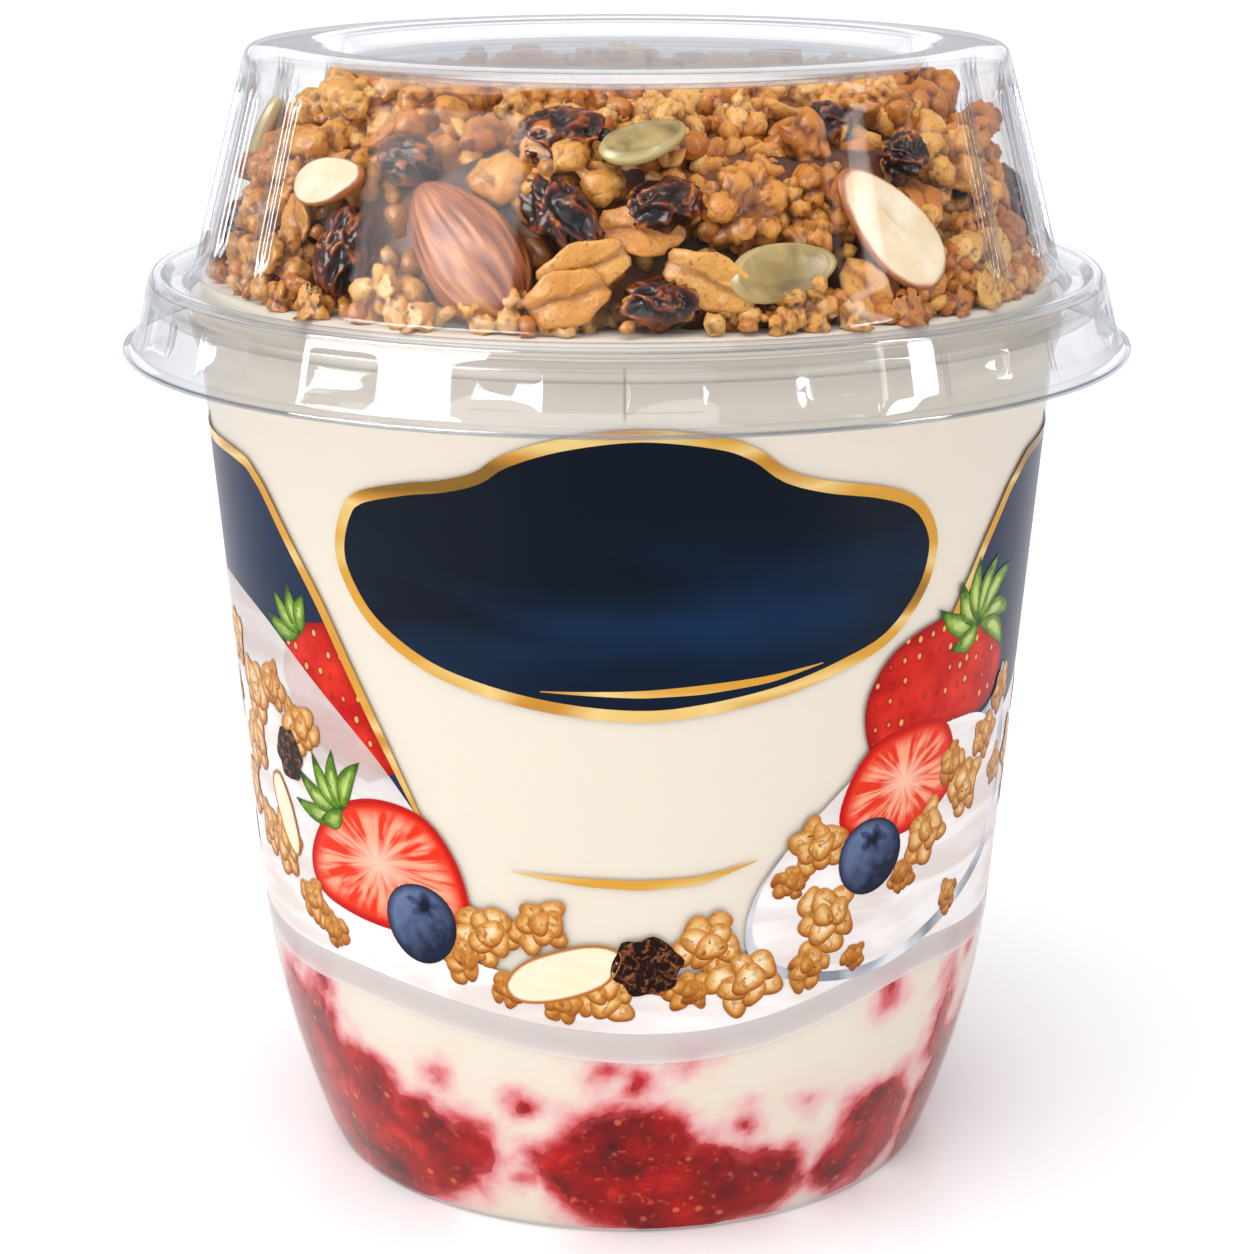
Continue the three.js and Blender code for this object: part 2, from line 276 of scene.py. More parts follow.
# %% Camera and floor
CAMERA_PLACE = (0, -299.9, 136.9)
CAMERA_PITCH = 15.57
CAMERA_FOV = 23.69
camera_data = bpy.data.cameras.new("camera")
camera_data.sensor_width = 36
camera_data.lens = 18 / math.tan(math.radians(CAMERA_FOV / 2))
camera_data.clip_start = 0.01
camera = bpy.data.objects.new("camera", camera_data)
camera.location = Vector(CAMERA_PLACE) * MM
camera.rotation_euler = (math.radians(90 - CAMERA_PITCH), 0, 0)
scene.collection.objects.link(camera)
scene.camera = camera

floor_paint, tree, shader = new_material("pale painted board")
shader.inputs["Base Color"].default_value = colour("#fbfbfb")
shader.inputs["Roughness"].default_value = 0.3
shader.inputs["Specular IOR Level"].default_value = 0.12
shader.inputs["Emission Color"].default_value = colour("#ffffff")
shader.inputs["Emission Strength"].default_value = 0.09
place = add(tree, "TexCoord").outputs["Object"]
grain = add(tree, "TexNoise", {"Vector": place, "Scale": 400, "Detail": 2})
bump = add(tree, "Bump", {"Strength": 0.02, "Height": grain})
tree.links.new(bump.outputs["Normal"],
               shader.inputs["Normal"])
FLOOR = 40000
floor = mesh_piece("floor", [(-FLOOR, -FLOOR, 0), (FLOOR, -FLOOR, 0), (FLOOR, FLOOR, 0), (-FLOOR, FLOOR, 0)],
                   [(0, 1, 2, 3)], floor_paint)
floor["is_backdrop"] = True
print(f"the floor lies at 0, {2 * FLOOR / 1000:.0f} m wide")

# %% [markdown]
# The light is a plain studio: an even white surround, a wide soft light from above, a softbox at
# the left and two strips at the right. The softbox and the strips are placed where the dome
# mirrors them, because a clear lid shows mostly by what it reflects.

# %% Light
def soft_light(name, azimuth, elevation, distance, width, height, radiance):
    """A panel that shows only as a reflection. Its power follows from its radiance."""
    data = bpy.data.lights.new(name, "AREA")
    data.shape = "RECTANGLE"
    data.size, data.size_y = width, height
    data.energy = radiance * math.pi * width * height
    lamp = bpy.data.objects.new(name, data)
    lamp.visible_diffuse = False
    lamp.visible_camera = False
    turn, rise = math.radians(azimuth), math.radians(elevation)
    way = Vector((math.sin(turn) * math.cos(rise), -math.cos(turn) * math.cos(rise), math.sin(rise)))
    aim = Vector((0, 0, 0.075))
    lamp.location = aim + way * distance
    lamp.rotation_euler = (-way).to_track_quat("-Z", "Y").to_euler()
    scene.collection.objects.link(lamp)


soft_light("softbox_left", -54, 22, 0.55, 0.46, 0.36, 13)
soft_light("strip_right", 68, 18, 0.6, 0.05, 0.5, 22)
soft_light("strip_right_faint", 58, 18, 0.6, 0.03, 0.5, 6)
soft_light("card_behind", 180, 16, 1.0, 1.3, 0.3, 1.0)
sun_data = bpy.data.lights.new("overhead", "SUN")
sun_data.energy = 1.85
sun_data.angle = math.radians(70)
sun = bpy.data.objects.new("overhead", sun_data)
sun.rotation_euler = (math.radians(24), math.radians(-17), 0)
scene.collection.objects.link(sun)
world = bpy.data.worlds.new("studio")
world.use_nodes = True
world.node_tree.nodes["Background"].inputs["Color"].default_value = colour("#fbfbff")
world.node_tree.nodes["Background"].inputs["Strength"].default_value = 0.66
scene.world = world
scene.view_settings.view_transform = "Standard"
scene.cycles.transparent_max_bounces = 16
scene.cycles.max_bounces = 5
scene.cycles.diffuse_bounces = 2
scene.cycles.glossy_bounces = 3

# %% [markdown]
# Clear PET is thermoformed from sheet, so it is glassy on both sides, and its index of about 1.57
# gives a 5 percent mirror face on, and much more at a grazing angle. The wall is thin and its two
# sides are parallel, so light goes straight through: a transparent shader under a mirror weighted
# by the facing angle shows that without the noise of refraction. The sheet is tinted greyer edge on
# and where it bends, partly because more of it lies in the line of sight and partly as painted shade
# for the light that the bends turn aside. The tub's polypropylene is the same with a soft haze.

# %% Clear plastics
def clear_plastic(name, edge, haze, straight, power, grazing):
    """A clear sheet: edge tints it where it is seen edge on or bent, partly as painted shade, haze
    blurs its mirror, and straight and grazing are how much of a mirror it is seen face on and edge on."""
    material = bpy.data.materials.new(name)
    material.use_nodes = True
    tree = material.node_tree
    tree.nodes.clear()
    facing = add(tree, "LayerWeight", {"Blend": 0.5}).outputs["Facing"]
    fold = add(tree, "Attribute", attribute_name="fold").outputs["Fac"]
    steep = add(tree, "Math", {0: facing, 1: 5.0}, operation="POWER")
    plain = add(tree, "Math", {0: steep, 1: grazing, 2: straight},
                operation="MULTIPLY_ADD")
    mirror = add(tree, "Math", {0: fold, 1: 0.10, 2: plain}, operation="MULTIPLY_ADD")
    mirror.use_clamp = True
    rim = add(tree, "Math", {0: facing, 1: power}, operation="POWER")
    # Grey tint: painted shade at bends and on the skirt, and edge on partly painted shade, partly the longer
    # path through the sheet.
    path_grey_and_painted_bend_shade = add(tree, "Math", {0: fold, 1: 0.8, 2: rim}, operation="MULTIPLY_ADD")
    path_grey_and_painted_bend_shade.use_clamp = True
    tint = add(tree, "Mix", {0: path_grey_and_painted_bend_shade, 6: "#ffffff", 7: colour(edge)},
               data_type="RGBA")
    through = add(tree, "BsdfTransparent", {"Color": tint})
    gloss = add(tree, "BsdfAnisotropic", {"Color": "#ffffff", "Roughness": haze})
    both = add(tree, "MixShader", {0: mirror, 1: through, 2: gloss})
    add(tree, "OutputMaterial", {"Surface": both})
    return material


# The edge colours are the grey of this tint, partly painted shade.
clear_pet = clear_plastic("clear PET sheet", "#cbced4", 0.02, 0.004, 6.0, 0.7)
clear_pp = clear_plastic("clear polypropylene", "#e2dfda", 0.09, 0.001, 5.0, 0.35)


def mark_folds(piece, low, high, least=0.0, below=0.0):
    """Stores how sharply the sheet bends at each point: 0 under low, 1 over high, per millimetre.
    Points under a height get at least a small value, for a part that is seen through more layers;
    the grey that this adds is painted shade."""
    sheet = bmesh.new()
    sheet.from_mesh(piece.data)
    bend = np.zeros(len(sheet.verts))
    centres = {face.index: face.calc_center_median() for face in sheet.faces}
    for edge in sheet.edges:
        if len(edge.link_faces) == 2:
            one, two = edge.link_faces
            apart = (centres[one.index] - centres[two.index]).length / MM
            turn = one.normal.angle(two.normal, 0) / max(apart, 0.05)
            for vert in edge.verts:
                bend[vert.index] = max(bend[vert.index], turn)
    lowest = least * np.array([vert.co.z < below * MM for vert in sheet.verts])
    sheet.free()
    piece.data.attributes.new("fold", "FLOAT", "POINT").data.foreach_set(
        "value", np.maximum(lowest, smoothstep(low, high, bend)).astype(np.float32))


print("clear sheets:", clear_pet.name, "and", clear_pp.name)


# %% [markdown]
# The tub stands on a ring, its base pushed up inside it. The wall rounds up like a bowl, then
# tapers out to a small step that keeps stacked tubs apart, and ends in the flange that the lid
# grips. Outside and inside are one closed profile.

# %% The tub
FOOT_R = 31.6
BOWL_R, BOWL_Z = 38.07, 26
SHOULDER_R, SHOULDER_Z = 42.84, 83.6
NECK_R = 44
bowl = [(FOOT_R * (1 - t) ** 2 + 36.95 * 2 * t * (1 - t) + BOWL_R * t * t, 13.6 * 2 * t * (1 - t) + BOWL_Z
         * t * t, 0) for t in np.linspace(0, 1, 15)[1:]]
tub_corners = ([(0, 1.2, 0), (27.5, 1.2, 0.8), (28.6, 0, 0.6), (FOOT_R - 0.2, 0, 0.7)] + bowl
               + [(SHOULDER_R, SHOULDER_Z, 1.2), (43.5, 85.3, 1.2), (NECK_R, FLANGE_Z - 1.5, 0.3)])
tub_outside = rounded(tub_corners)
tub_inside = inset(tub_outside, TUB_WALL)
flange = rounded([(NECK_R, FLANGE_Z - 1.5, 0), (RIM_R - 0.1, FLANGE_Z - 1.5, 0.4),
                  (RIM_R - 0.1, FLANGE_Z - 0.1, 0.5), (NECK_R - TUB_WALL + 0.2, FLANGE_Z - 0.1, 0.4),
                  (NECK_R - TUB_WALL, FLANGE_Z - 1.6, 0)])
tub = mesh_piece("tub_wall", *lathe(tub_outside + flange[1:-1] + tub_inside[::-1], EVEN), clear_pp)
mark_folds(tub, 0.5, 3.0)
keep(tub, "tub", "tub")


def wall_radius(height):
    """Radius of the tub's outer wall at a height."""
    outer = [p for p in tub_outside if p[0] > FOOT_R - 1]
    return np.interp(height, [p[1] for p in outer], [p[0] for p in outer])


print(f"the tub's wall is {wall_radius(20):.1f} mm in radius at 20 mm and {wall_radius(80):.1f} at 80 mm")


# %% [markdown]
# The lid is one sheet. Its dome has a sunk round panel on top inside a stacking ring, and its side
# is pressed into shallow panels with narrow ribs left between them: two wide windows at front and
# back, and five flutes at each side. Below are the channel that sits on the flange, the skirt with
# its snap pockets, and the brim. The relief is a function of azimuth and height, so both sides of
# the sheet follow it, and the azimuths are denser where a rib or a pocket has its edge.

# %% The lid
RIBS = [side * azimuth for side in (-1, 1) for azimuth in (55, 69, 83, 97, 111, 125)]
RIB_HALF = 0.55
PANEL_DEEP = 0.6
PANEL_LOW, PANEL_HIGH = 93.2, 111.2
SNAPS = 20
SNAP_HALF = 4.0
lid_corners = [(BRIM_R - 0.05, 83.9, 0), (BRIM_R - 0.05, 84.35, 0.2), (49.5, 84.7, 0.6), (48.95, 85.9, 0.8),
               (47.75, 90.9, 0.5), (47.2, 91.65, 0.6), (46.3, 91.6, 0.5), (45.6, 90.35, 0.5),
               (44.3, 90.3, 0.5), (43.25, 91.7, 0.7), (37.4, TOP_Z, 1.5), (30.3, TOP_Z, 0.8),
               (28.8, TOP_Z - 1.75, 0.9), (0, TOP_Z - 1.7, 0)]
lid_outside = spaced(spaced(rounded(lid_corners, 3), 1.0, 91.8, 112.5), 0.75, 84.6, 90.9)
lid_inside = inset(lid_outside, LID_WALL)


def lid_relief(azimuth, radius, height):
    """Presses the panels and the snap pockets into the sheet."""
    centres = sorted(a % 360 for a in RIBS)
    pressed = np.zeros_like(radius)
    for low, high in zip(centres, centres[1:] + [centres[0] + 360]):
        away = (azimuth - (low + high) / 2 + 180) % 360 - 180
        across = np.abs(np.radians(away)) * 40.5 - (math.radians(high - low) / 2 * 40.5 - RIB_HALF)
        upright = np.abs(height - (PANEL_LOW + PANEL_HIGH) / 2) - (PANEL_HIGH - PANEL_LOW) / 2
        round_by = 2.4
        dx, dz = across + round_by, upright + round_by
        edge = np.hypot(np.maximum(dx, 0), np.maximum(dz, 0)) + np.minimum(np.maximum(dx, dz), 0) - round_by
        pressed = np.maximum(pressed, PANEL_DEEP * smoothstep(0, 0.42, -edge))
    dome = (height > 91.9) & (radius > 36)
    away = (azimuth + 180 / SNAPS * 0.5) % (360 / SNAPS) - 180 / SNAPS
    across = SNAP_HALF - np.abs(np.radians(away)) * 48.5
    upright = 1.75 - np.abs(height - 87.4)
    pocket = 0.8 * np.clip(np.minimum(across / 1.1, upright / 0.6), 0, 1)
    skirt = (height < 90) & (radius > 46.5)
    return radius - np.where(dome, pressed, 0) - np.where(skirt, pocket, 0), height


near_rib = [0, 0.76, 0.91, 1.08, 1.24, 1.4, 2.2, 4.2]
snap_edge = math.degrees(SNAP_HALF / 48.5)
near_snap = [snap_edge - 1.35, snap_edge, snap_edge + 0.25]
lid_azimuths = {round(a, 2) for a in np.arange(0, 360, 4.0)}
lid_azimuths |= {round((rib + side * a) % 360, 2) for rib in RIBS for a in near_rib for side in (-1, 1)}
lid_azimuths |= {round((360 / SNAPS * (k + 0.25) + side * a) % 360, 2)
                 for k in range(SNAPS) for a in near_snap for side in (-1, 1)}
lid_azimuths = np.array(sorted(lid_azimuths))
lid = mesh_piece("lid_sheet", *lathe(lid_outside + lid_inside[::-1], lid_azimuths, lid_relief), clear_pet)
mark_folds(lid, 0.5, 2.6, 0.32, 90.6)
keep(lid, "lid", "dome_lid")
print("azimuths round the lid:", len(lid_azimuths), "points along its profile:", len(lid_outside))

# %% [markdown]
# Compote lies at the bottom in lumps that rise against the wall, and its juice stains the yogurt
# round it. One field, positive inside the fruit and measured in millimetres, gives both: the
# compote's skin stands just proud of the yogurt where the field is positive and sinks behind it
# elsewhere, and the yogurt keeps the field as an attribute, for its pink stain. The yogurt reaches
# a little way into the plastic wall, so that no air gap shows.

# %% Yogurt and compote
# Each lump: azimuth, height, and half its width, height and depth in millimetres.
LUMPS = [
    (-66, 9.5, 8, 11, 12), (-50, 8, 9.5, 9, 14), (-37, 8, 7.5, 6, 12), (-29, 8.5, 4.5, 3.8, 8),
    (-57, 17, 3.2, 4.6, 4), (0, 8, 7.6, 7.6, 12), (10, 5, 8.5, 6, 12), (22, 4.8, 5.5, 4.2, 9),
    (46, 7, 5, 6.2, 8), (40, 4.5, 3.2, 3.4, 5), (61, 16.5, 1.5, 5.2, 3), (70, 7, 7, 8, 12),
    (94, 9, 11, 9, 15), (116, 6, 8, 6, 12), (140, 7, 8, 7.5, 12), (172, 9, 11, 10, 15),
    (196, 6, 8, 6.5, 12), (222, 6.5, 8, 6.5, 12), (252, 9, 9, 9.5, 14), (276, 8, 8, 10, 14)]
# Drops of juice higher up the wall: azimuth, height and radius.
DROPS = [(1, 18.1, 0.9), (-3, 19.9, 0.8), (9, 20.8, 0.7), (19, 12.6, 0.8), (-54, 23, 0.7), (44, 24.2, 1.0),
         (69, 24, 0.9), (-15, 10, 0.7), (-18, 6.5, 0.5), (-16, 15, 0.5), (30, 14, 0.5), (-31, 16.5, 0.5),
         (-63, 24, 0.8), (120, 17, 0.8), (150, 18, 0.8), (205, 16, 0.8), (235, 17, 0.8)]
FILL_INTO_WALL = 0.45
fill_outside = [(r, z) for r, z in inset(tub_outside, TUB_WALL - FILL_INTO_WALL) if z < FLANGE_Z - 2]


def around(azimuth, radius, height):
    """The point at an azimuth in degrees, a radius and a height."""
    turn = np.radians(azimuth)
    return np.stack([radius * np.sin(turn), -radius * np.cos(turn), height + 0 * turn], -1)


def fruit_field(points):
    """Millimetres inside the nearest lump, negative outside, for points in millimetres."""
    points = np.asarray(points, float)
    best = np.full(len(points), -20.0)
    for azimuth, height, wide, high, deep in LUMPS:
        turn = math.radians(azimuth)
        across = np.array([math.cos(turn), math.sin(turn), 0])
        out = np.array([math.sin(turn), -math.cos(turn), 0])
        away = points - around(azimuth, wall_radius(height) - 1, height)
        ratio = np.sqrt((away @ across / wide) ** 2 + (away[:, 2] / high) ** 2 + (away @ out / deep) ** 2)
        best = np.maximum(best, (1 - ratio) * min(wide, high))
    for azimuth, height, radius in DROPS:
        away = np.linalg.norm(points - around(azimuth, wall_radius(height) - 1, height), axis=1)
        best = np.maximum(best, radius - away)
    middle = np.hypot(points[:, 0], points[:, 1])
    best = np.maximum(best, np.where(points[:, 2] < 4, 24 - middle, -20) * 0.5)
    rough = np.array([1.3 * noise.noise(Vector(p) * 0.21) + 0.7 * noise.noise(Vector(p) * 0.55)
                      + 0.35 * noise.noise(Vector(p) * 1.3) for p in points])
    return best + rough


def put_attribute(piece, name, values):
    """Stores one number for each point of a piece."""
    stored = piece.data.attributes.new(name, "FLOAT", "POINT").data
    stored.foreach_set("value", np.asarray(values, np.float32))


def points_of(piece):
    """A piece's points in millimetres."""
    values = np.empty(len(piece.data.vertices) * 3)
    piece.data.vertices.foreach_get("co", values)
    return values.reshape(-1, 3) / MM


def pushed(points, faces, amount):
    """Points moved along their normals by an amount in millimetres."""
    mesh = bpy.data.meshes.new("scratch")
    mesh.from_pydata(points, [], faces)
    normals = np.empty(len(mesh.vertices) * 3)
    mesh.vertex_normals.foreach_get("vector", normals)
    bpy.data.meshes.remove(mesh)
    return np.asarray(points) + normals.reshape(-1, 3) * np.asarray(amount)[:, None]


print("compote:", len(LUMPS), "lumps and", len(DROPS), "drops")


# %% [markdown]
# Yogurt is an opaque, moist, fine gel. Its colour is a warm white, and it scatters light under its
# surface, which softens shadows. Where juice has soaked in, it goes through pink to red, and noise
# of a few millimetres makes the edge of the stain uneven. Cooked strawberry is a wet, clear red
# pulp: bright where it is thin and almost black-red where it is deep, with paler flecks and seeds.

# %% Yogurt and compote finishes
def fruit_edge(tree, field):
    """The field with its edge broken up, in millimetres."""
    place = add(tree, "TexCoord").outputs["Object"]
    broad = add(tree, "TexNoise", {"Vector": place, "Scale": 260, "Detail": 4, "Roughness": 0.6})
    shift = add(tree, "Math", {0: broad, 1: 3.4, 2: -1.7}, operation="MULTIPLY_ADD")
    return place, add(tree, "Math", {0: field, 1: shift}, operation="ADD").outputs[0]


yogurt_finish, tree, shader = new_material("yogurt")
field = add(tree, "Attribute", attribute_name="field").outputs["Fac"]
place, edge = fruit_edge(tree, field)
stain = add(tree, "MapRange", {"Value": edge, "From Min": -4.7, "From Max": 0.3})
cream = add(tree, "ValToRGB", {0: stain}, stops=[
    (0, "#eee3d2"), (1, "#b81c20"), (0.4, "#efdecd"), (0.66, "#eebbb8"), (0.88, "#dc676b")])
tree.links.new(cream.outputs[0], shader.inputs["Base Color"])
shader.inputs["Roughness"].default_value = 0.45
shader.inputs["Specular IOR Level"].default_value = 0.25
shader.inputs["Subsurface Weight"].default_value = 0.25
shader.inputs["Subsurface Radius"].default_value = (1.0, 0.7, 0.5)
shader.inputs["Subsurface Scale"].default_value = 0.0015

compote_finish, tree, shader = new_material("cooked strawberry")
field = add(tree, "Attribute", attribute_name="field").outputs["Fac"]
place, edge = fruit_edge(tree, field)
depth = add(tree, "TexNoise", {"Vector": place, "Scale": 150, "Detail": 5, "Roughness": 0.62,
                               "Distortion": 0.4})
pulp = add(tree, "ValToRGB", {0: depth}, stops=[
    (0.3, "#470204"), (0.76, "#e43a1c"), (0.42, "#800407"), (0.53, "#a80806"), (0.63, "#c91a0c")])
flecks = add(tree, "TexNoise", {"Vector": place, "Scale": 1100, "Detail": 3, "Distortion": 0.5})
fleck_mask = add(tree, "MapRange", {"Value": flecks, "From Min": 0.6, "From Max": 0.72})
fleck_part = add(tree, "Math", {0: fleck_mask, 1: 0.7}, operation="MULTIPLY")
flecked = add(tree, "Mix", {0: fleck_part, 6: pulp, 7: "#e2603f"}, data_type="RGBA")
threads = add(tree, "TexVoronoi", {"Vector": place, "Scale": 420}, feature="DISTANCE_TO_EDGE")
thread_mask = add(tree, "MapRange",
                  {"Value": threads.outputs["Distance"], "From Min": 0.1, "From Max": 0.0})
thread_part = add(tree, "Math", {0: thread_mask, 1: 0.45}, operation="MULTIPLY")
threaded = add(tree, "Mix", {0: thread_part, 6: flecked, 7: "#6e0608"}, data_type="RGBA")
seeds = add(tree, "TexVoronoi", {"Vector": place, "Scale": 330})
seed_mask = add(tree, "MapRange",
                {"Value": seeds.outputs["Distance"], "From Min": 0.15, "From Max": 0.09})
seed_part = add(tree, "Math", {0: seed_mask, 1: 0.65}, operation="MULTIPLY")
seeded = add(tree, "Mix", {0: seed_part, 6: threaded, 7: "#dd7a45"}, data_type="RGBA")
thin_edge = add(tree, "MapRange", {"Value": edge, "From Min": 0.9, "From Max": -0.5})
edged = add(tree, "Mix", {0: thin_edge, 6: seeded, 7: "#c23a40"}, data_type="RGBA")
tree.links.new(edged.outputs[2], shader.inputs["Base Color"])
shader.inputs["Roughness"].default_value = 0.2
shader.inputs["Specular IOR Level"].default_value = 0.18
shader.inputs["Subsurface Weight"].default_value = 0.06
shader.inputs["Subsurface Radius"].default_value = (1.0, 0.15, 0.1)
shader.inputs["Subsurface Scale"].default_value = 0.0008
wet = add(tree, "Bump", {"Strength": 0.5, "Distance": 0.0003, "Height": depth})
tree.links.new(wet.outputs[0], shader.inputs["Normal"])
print("finishes:", yogurt_finish.name, "and", compote_finish.name)

# %% [markdown]
# The fill keeps how deep each of its points lies in the fruit, which its finish reads as the stain.
# The compote stands just proud of the fill along the wall, and lies under it elsewhere.

# %% Yogurt and compote pieces
MOUTH_R = 42.4
fill_profile = spaced(fill_outside, 0.6, 0.5, 30) + [(NECK_R - TUB_WALL + FILL_INTO_WALL, 89.3),
                                                     (MOUTH_R + 0.3, 89.35), (MOUTH_R, 89.7),
                                                     (MOUTH_R, YOGURT_Z - 0.4), (MOUTH_R - 0.4, YOGURT_Z),
                                                     (0, YOGURT_Z)]
yogurt = mesh_piece("yogurt_fill", *lathe(fill_profile, EVEN), yogurt_finish)
put_attribute(yogurt, "field", fruit_field(points_of(yogurt)))
keep(yogurt, "yogurt", "yogurt")

skin = spaced([(r, z) for r, z in fill_outside if z < 27], 0.45, 0.5, 27)
skin = [skin[0]] + [(r, skin[0][1]) for r in (8, 16, 22, 25)] + skin[1:]
inner_rows = [(34, 26.2), (24, 10), (10, 6), (0, 6)]
points, faces = lathe(skin + inner_rows, np.linspace(0, 360, 400, endpoint=False))
field_here = fruit_field(points)
skin_rows = len(skin) - 1
on_skin = np.arange(len(points)) < 1 + skin_rows * 400
proud = np.where(on_skin, np.clip(field_here * 0.5, -1.6, 0.07), -0.5)
compote = mesh_piece("compote_pulp", pushed(points, faces, proud), faces, compote_finish)
put_attribute(compote, "field", field_here)
keep(compote, "compote", "compote")
print(len(points), "points of compote")

# %% [markdown]
# The wall is printed: a navy badge with a gold border, navy side panels, fruit, oat clusters, a
# spoonful of yogurt and a white swirl. The print repeats on the back. Each field is a thin skin of
# ink that follows the wall, rather than a mask in one big shader, so its edge is crisp at any size.
# A field is drawn flat, with x as the arc length from the front and y as the height, and then it
# is rolled on to the wall. Every point keeps its distance to the outline and its flat place.

# %% Helpers for print
PRINT_R = 40.0
INK_LIFT = 0.03
INK_STEP = 0.012


def through(points, step=0.8):
    """A smooth closed outline through a few points, as a Catmull-Rom curve."""
    p = np.asarray(points, float)
    drawn = []
    for i in range(len(p)):
        a, b, c, d = p[i - 1], p[i], p[(i + 1) % len(p)], p[(i + 2) % len(p)]
        count = max(2, round(np.linalg.norm(c - b) / step))
        for t in np.arange(count) / count:
            drawn.append(0.5 * (2 * b + (c - a) * t + (2 * a - 5 * b + 4 * c - d) * t * t
                                + (3 * b - a - 3 * c + d) * t ** 3))
    return np.array(drawn)


def blob(x, y, size, lobes=6, depth=0.12, seed=0, wide=1.0, turn=0.0):
    """A lobed outline, for an oat cluster, a berry or a raisin."""
    a = np.linspace(0, 2 * math.pi, 36, endpoint=False)
    r = size * (1 + depth * np.sin(lobes * a + seed) + 0.5 * depth * np.sin((2 * lobes - 3) * a + 2.3 * seed))
    u, v = r * np.cos(a) * wide, r * np.sin(a)
    c, s = math.cos(math.radians(turn)), math.sin(math.radians(turn))
    return np.stack([x + u * c - v * s, y + u * s + v * c], 1)


def leaf(x, y, length, width, turn):
    """A pointed leaf that starts at x, y."""
    t = np.linspace(0, 1, 11)
    half = width / 2 * np.sin(math.pi * t ** 0.8) ** 0.9
    u = np.concatenate([t, t[-2:0:-1]]) * length
    v = np.concatenate([half, -half[-2:0:-1]]) + 0.12 * length * np.sin(math.pi * u / length)
    c, s = math.cos(math.radians(turn)), math.sin(math.radians(turn))
    return np.stack([x + u * c - v * s, y + u * s + v * c], 1)


def ribbon(points, widths):
    """An outline round a line, wider and narrower as widths say."""
    p = np.asarray(points, float)
    t = np.linspace(0, len(p) - 1, 12 * len(p))
    line = np.stack([np.interp(t, range(len(p)), p[:, k]) for k in (0, 1)], 1)
    for _ in range(8):
        line[1:-1] = (line[:-2] + line[1:-1] * 2 + line[2:]) / 4
    side = np.gradient(line, axis=0)
    side = np.stack([-side[:, 1], side[:, 0]], 1) / np.linalg.norm(side, axis=1)[:, None]
    half = np.interp(t, range(len(p)), widths)[:, None] / 2
    return np.vstack([line + side * half, (line - side * half)[::-1]])


def eased(points, step=0.8):
    """An open line through a few points, with its corners smoothed."""
    p = np.asarray(points, float)
    place = np.concatenate([[0], np.cumsum(np.linalg.norm(np.diff(p, axis=0), axis=1))])
    t = np.linspace(0, place[-1], max(3, round(place[-1] / step)))
    line = np.stack([np.interp(t, place, p[:, k]) for k in (0, 1)], 1)
    for _ in range(30):
        line[1:-1] = (line[:-2] + line[1:-1] * 2 + line[2:]) / 4
    return line


def outline_distance(points, outline):
    """How far each flat point is from an outline, in millimetres."""
    a, b = outline, np.roll(outline, -1, axis=0)
    along = b - a
    t = ((points[:, None] - a) * along).sum(2) / np.maximum((along ** 2).sum(1), 1e-9)
    near = a + np.clip(t, 0, 1)[:, :, None] * along
    return np.linalg.norm(points[:, None] - near, axis=2).min(1)


def is_inside(points, outline):
    a, b = outline, np.roll(outline, -1, axis=0)
    crosses = (a[:, 1] > points[:, 1:2]) != (b[:, 1] > points[:, 1:2])
    rise = np.where(b[:, 1] == a[:, 1], 1e-9, b[:, 1] - a[:, 1])
    x = a[:, 0] + (points[:, 1:2] - a[:, 1]) * (b[:, 0] - a[:, 0]) / rise
    return (crosses & (points[:, :1] < x)).sum(1) % 2 == 1


print(f"print: a label {2 * math.pi * PRINT_R:.0f} mm round")

# %% [markdown]
# A printed shape is its outline filled with small triangles, fine enough to bend round the wall. It
# could be a flat sheet wrapped by a modifier, but placing each point on the wall keeps the ink's
# height even. Each point keeps its place on the label and its distance from the outline.

# %% Printing a shape
def divided(outline, step):
    """The outline with its long sides cut into steps, so that they can bend round the wall."""
    sides = zip(outline, np.roll(outline, -1, axis=0))
    return np.vstack([a + (b - a) * np.arange(n)[:, None] / n for a, b in sides
                      for n in [max(1, math.ceil(np.linalg.norm(b - a) / step))]])


